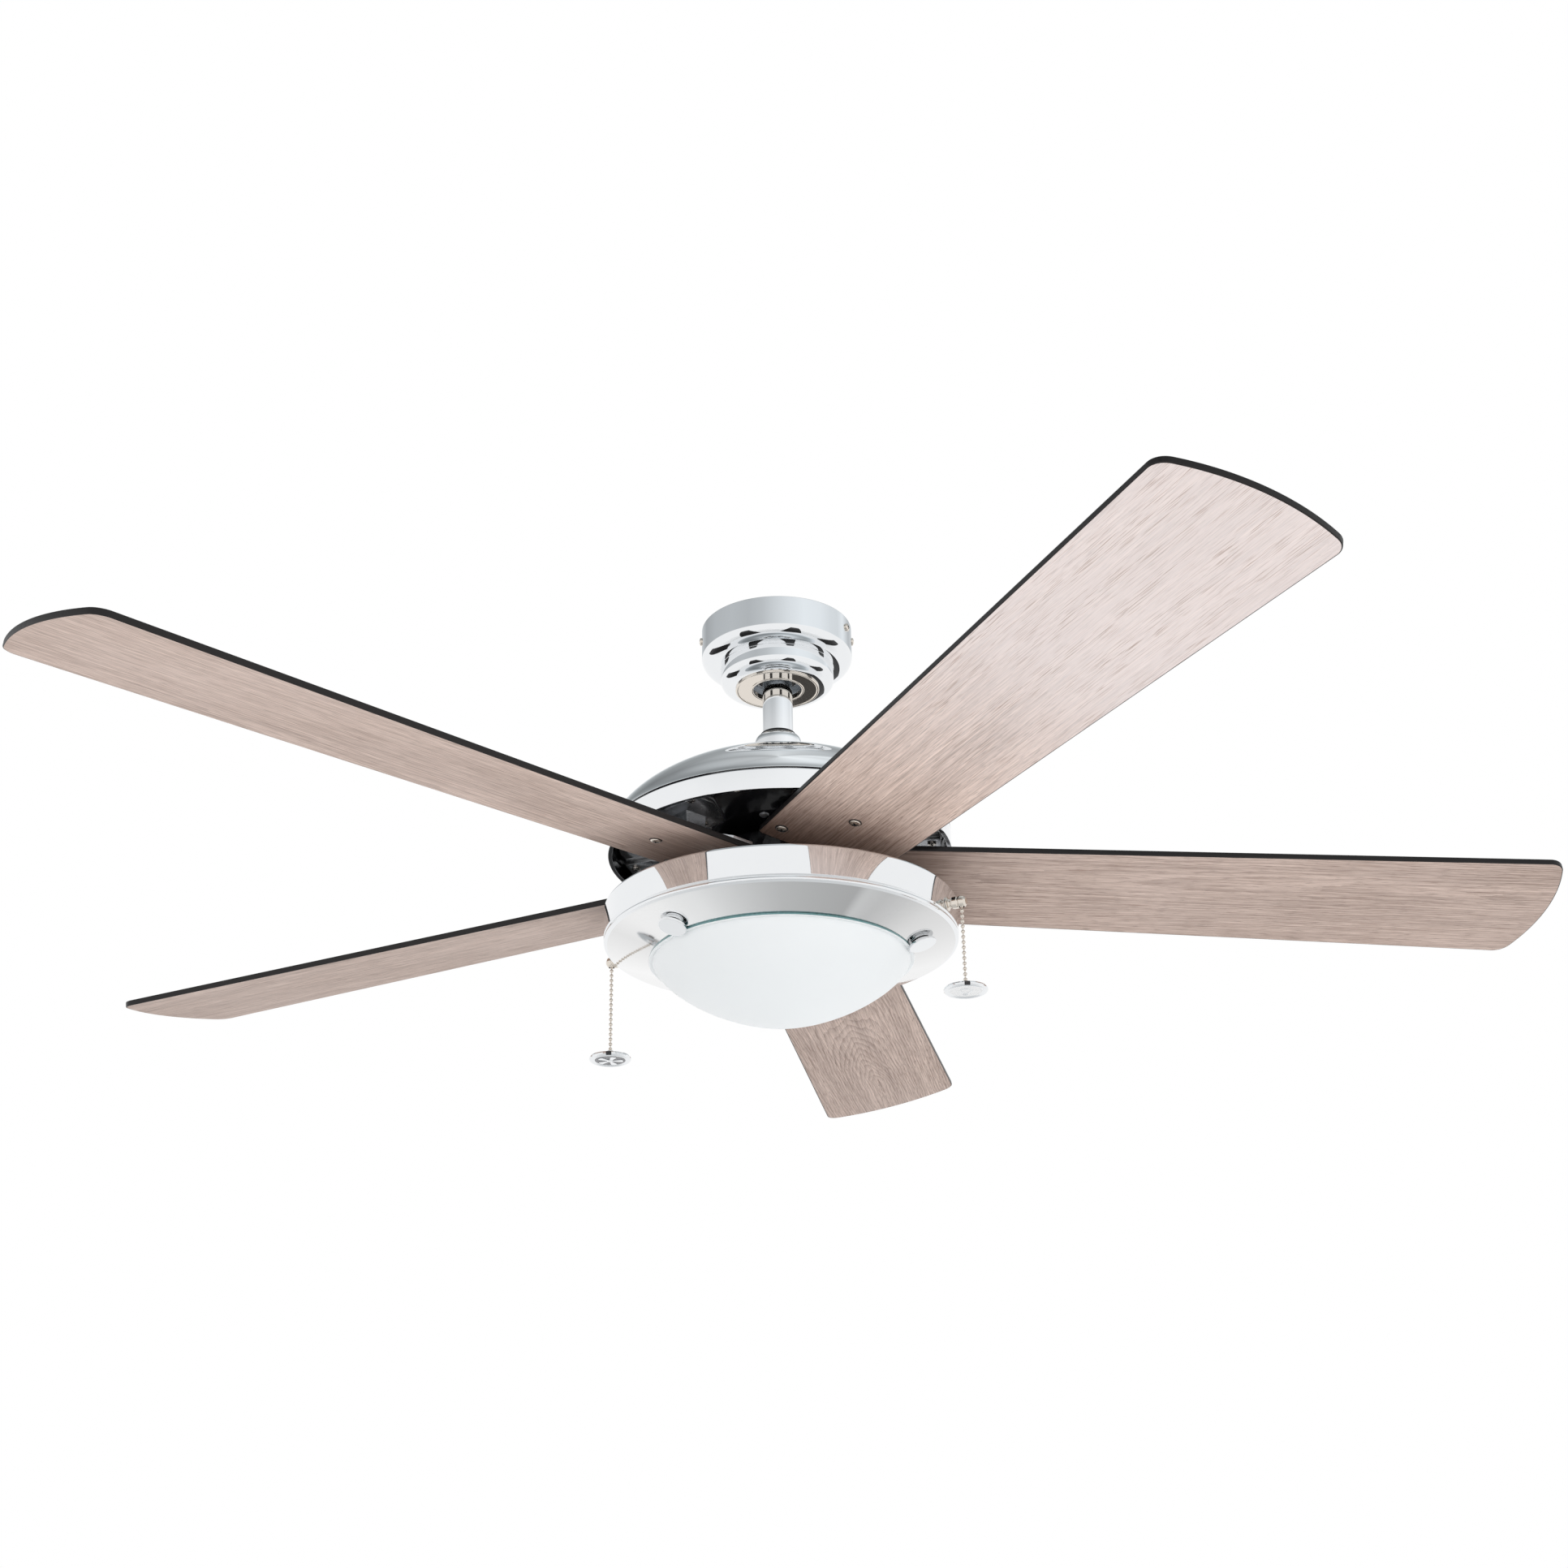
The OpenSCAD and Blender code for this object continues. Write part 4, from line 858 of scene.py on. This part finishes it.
# ---- Screws ----
def phillips(head_r, head_h, shank_r, shank_l, washer_r=0.0):
    """A pan-head screw with a cross recess, its seat at z = 0 and its head up, on a fibre washer or not. The
    recess is painted dark as painted shade, and the washer's dark rim also stands for the shadow ring round
    the head.
    """
    washer_t = 0.4 if washer_r else 0.0
    washer = [(head_r - 0.2, 0)]
    if washer_r:
        washer = [(washer_r, 0), (washer_r, washer_t), (head_r - 0.05, washer_t)]
    profile = ([(0, -shank_l), (shank_r - 0.3, -shank_l), (shank_r, -shank_l + 0.4), (shank_r, 0)] + washer
               + [(head_r, washer_t + 0.3)] + arc(0, head_h * 0.35, head_r, head_h * 0.65, 10, 90, 10)[:-1]
               + [(0, head_h)])
    head = as_object(turned(profile, 48), "screw_blank")
    cross = bmesh.new()
    wide, long = 0.16 * head_r, 0.56 * head_r
    slot = [(-long, -wide), (long, -wide), (long, wide), (-long, wide)]
    for turn in (0, 90):
        prism(slot, head_h * 0.45, head_h + 1, cross, turn_z(turn))
    made = cut_away(head, as_object(cross, "screw_cross"), overlapping=True)
    discard(head)
    for face in made.polygons:
        out, high = math.hypot(face.center.x, face.center.y) / MM, face.center.z / MM
        steep_or_deep = face.normal.z < 0.5 or high < head_h * 0.5
        # Painted shade: the faces down in the cross recess take the dark second finish.
        recess = out < 0.6 * head_r and high > head_h * 0.4 and steep_or_deep
        # The washer's rim takes the dark finish too: a dark fibre washer that also stands for the shadow ring
        # round the head.
        rim = out > head_r - 0.02 and 0 <= high < washer_t + 0.01
        face.material_index = int(recess or (washer_r > 0 and rim))
    return made


def screws(name, node, places, *sizes):
    """All of a node's screws as one piece."""
    pattern = phillips(*sizes)
    whole = bmesh.new()
    for place in places:
        copy = pattern.copy()
        copy.transform(place)
        whole.from_mesh(copy)
        bpy.data.meshes.remove(copy)
    bpy.data.meshes.remove(pattern)
    # The second finish is the dark of the painted recess shade and of the washer ring.
    return dress(as_object(whole, name), node, None, MATERIAL[SLOT[node]], MATERIAL["black_metal"])


def all_screws():
    head_down = turn_x(180)
    screws("canopy_screw_set", "canopy_screws",
           [turn_z(a) @ shift(64, 0, -9.5) @ turn_y(90) for a in (-12, 12, 168, 192)], 3.4, 2.2, 1.95, 4.4)
    screws("arm_screw_set", "arm_screws",
           [turn_z(a) @ shift(x, y, -203) @ head_down @ turn_z(31 * k) for a in BLADE_ANGLES
            for k, (x, y) in enumerate(((122, 27), (122, -27), (84, 0)))], 3.6, 2.2, 2, 4.8)
    screws("blade_screw_set", "blade_screws",
           [blade_frame(a) @ shift(x, y, 0) @ head_down @ turn_z(23 * k) for a in BLADE_ANGLES
            for k, (x, y) in enumerate(((85, 40), (85, -40), (134, 0)))], 4.4, 2.4, 2.3, BLADE_T + 4, 5.1)
    screws("pan_screw_set", "pan_screws",
           [turn_z(a) @ shift(137, 0, -257.1) for a in (-16, 104, 224)], 3.6, 2.4, 1.9, 2.5)


# ---- Light, floor and surroundings ----
def aim(obj, place, target):
    obj.location = place
    obj.rotation_mode = "QUATERNION"
    obj.rotation_quaternion = (Vector(target) - Vector(place)).to_track_quat("-Z", "Y")


def softbox(name, place, target, width, height, power, colour=(1, 1, 1)):
    data = bpy.data.lights.new(name, "AREA")
    data.shape = "RECTANGLE"
    data.size, data.size_y = width, height
    data.energy = power
    data.color = colour
    light = bpy.data.objects.new(name, data)
    bpy.context.scene.collection.objects.link(light)
    light.visible_glossy = False
    aim(light, place, target)
    return light


def studio():
    """A pale floor well below the fan, a sky that is white up to a third of its height, and soft lights."""
    front = Vector((cos(CAMERA_AZIMUTH), sin(CAMERA_AZIMUTH), 0))
    side = Vector((-front.y, front.x, 0))
    hub = (0, 0, -0.25)
    floor_z, floor_half = -3.4, 6.0
    shape = bmesh.new()
    shape.faces.new([shape.verts.new((x * floor_half, y * floor_half, floor_z))
                     for x, y in ((-1, -1), (1, -1), (1, 1), (-1, 1))])
    floor = as_object(shape, "floor")
    made, n, shader = new_material("floor_paint")
    cloud = n.noise(n.place(), 0.6, 2)
    n.put(shader.inputs["Base Color"], n.mix(cloud, rgb(0.86, 0.86, 0.86), rgb(0.9, 0.9, 0.9)))
    shader.inputs["Roughness"].default_value = 0.7
    out = n.add("VectorMath", {0: n.place()}, operation="LENGTH").outputs[1]
    fade = {"Value": out, "From Min": 2.6, "From Max": floor_half, "To Min": 1.0, "To Max": 0.0}
    n.put(shader.inputs["Alpha"], n.add("MapRange", fade, interpolation_type="SMOOTHSTEP").outputs[0])
    floor.data.materials.append(made)

    world = bpy.data.worlds.new("studio")
    world.use_nodes = True
    bpy.context.scene.world = world
    w = Nodes(world.node_tree)
    back = world.node_tree.nodes["Background"]
    ramp = w.add("ValToRGB")
    sight = w.add("TexCoord").outputs["Generated"]
    height = w.add("SeparateXYZ", {"Vector": sight}).outputs[2]
    w.put(ramp.inputs[0], height)
    fill_ramp(ramp, [(0.0, (1.0, 1.0, 1.0)), (0.415, (1.0, 1.0, 1.0)), (0.435, (0.86, 0.87, 0.88)),
                     (0.45, (0.67, 0.70, 0.72)), (0.52, (0.67, 0.70, 0.72)), (0.6, (0.44, 0.47, 0.48)),
                     (0.72, (0.36, 0.38, 0.39)), (0.82, (0.42, 0.44, 0.45)), (0.92, (0.64, 0.67, 0.685)),
                     (1.0, (0.74, 0.765, 0.775))])
    aside = w.add("VectorMath", {0: sight, 1: tuple(side)}, operation="DOT_PRODUCT").outputs[1]
    ahead = w.add("VectorMath", {0: sight, 1: tuple(front)}, operation="DOT_PRODUCT").outputs[1]
    turn = w.maths("ARCTAN2", aside, ahead)
    around = w.add("ValToRGB")
    fill_ramp(around, [(at, (value,) * 3) for at, value in (
        (0.0, 0.8), (0.12, 0.45), (0.2, 0.56), (0.3, 0.6), (0.38, 0.56), (0.44, 0.63), (0.5, 0.78),
        (0.55, 0.89), (0.62, 1.0), (0.7, 0.96), (0.76, 0.86), (0.8, 0.84), (0.84, 0.98), (0.9, 0.6),
        (1.0, 0.8))])
    w.put(around.inputs[0], w.remap(turn, -math.pi, math.pi, 0, 1))
    upper = w.remap(height, 0.41, 0.45, 0, 1)
    turned_sky = w.mix(1.0, ramp.outputs[0], around.outputs[0], "MULTIPLY")
    turned_sky = w.mix(1.0, turned_sky, rgb(1.35, 1.35, 1.35), "MULTIPLY")
    sky = w.mix(upper, ramp.outputs[0], turned_sky)
    seen = w.add("LightPath").outputs["Is Camera Ray"]
    w.put(back.inputs["Color"], w.mix(seen, sky, rgb(1, 1, 1)))
    back.inputs["Strength"].default_value = 1.0

    softbox("light_below", front * 1.2 + side * 0.5 + Vector((0, 0, -2.6)), hub, 3.2, 2.4, 4)
    softbox("light_near", front * 0.7 + side * 0.5 + Vector((0, 0, -1.7)), hub, 1.2, 1.2, 2.2)
    softbox("light_right", front * 1.5 + side * 1.7 + Vector((0, 0, -1.3)), hub, 1.6, 1.6, 6)
    softbox("light_above", front * -1.0 + side * 1.2 + Vector((0, 0, 2.4)), hub, 2.4, 2.4, 20)


# ---- All pieces ----
ceiling_fittings()
housing()
light_kit()
for number, angle in enumerate(BLADE_ANGLES, 1):
    blade(number, angle)
    rounded_copy(f"blade_arm_{number}", 0.5)
all_screws()
for node in ("ceiling_bracket", "motor_coupling", "rotor_upper", "rotor_lower", "switch_housing",
             "switch_cover", "shaft_nut", "capacitor", "reverse_switch", "reverse_slider", "fan_switch",
             "light_switch", "fitter_plate", "lamp_bracket", "lampholders"):
    rounded_copy(node)
for node, obj in frame["nodes"].items():
    if not obj.hide_render:
        obj.data.materials.clear()
        obj.data.materials.append(MATERIAL[SLOT[node]])
studio()
bpy.context.scene.view_settings.view_transform = "Standard"
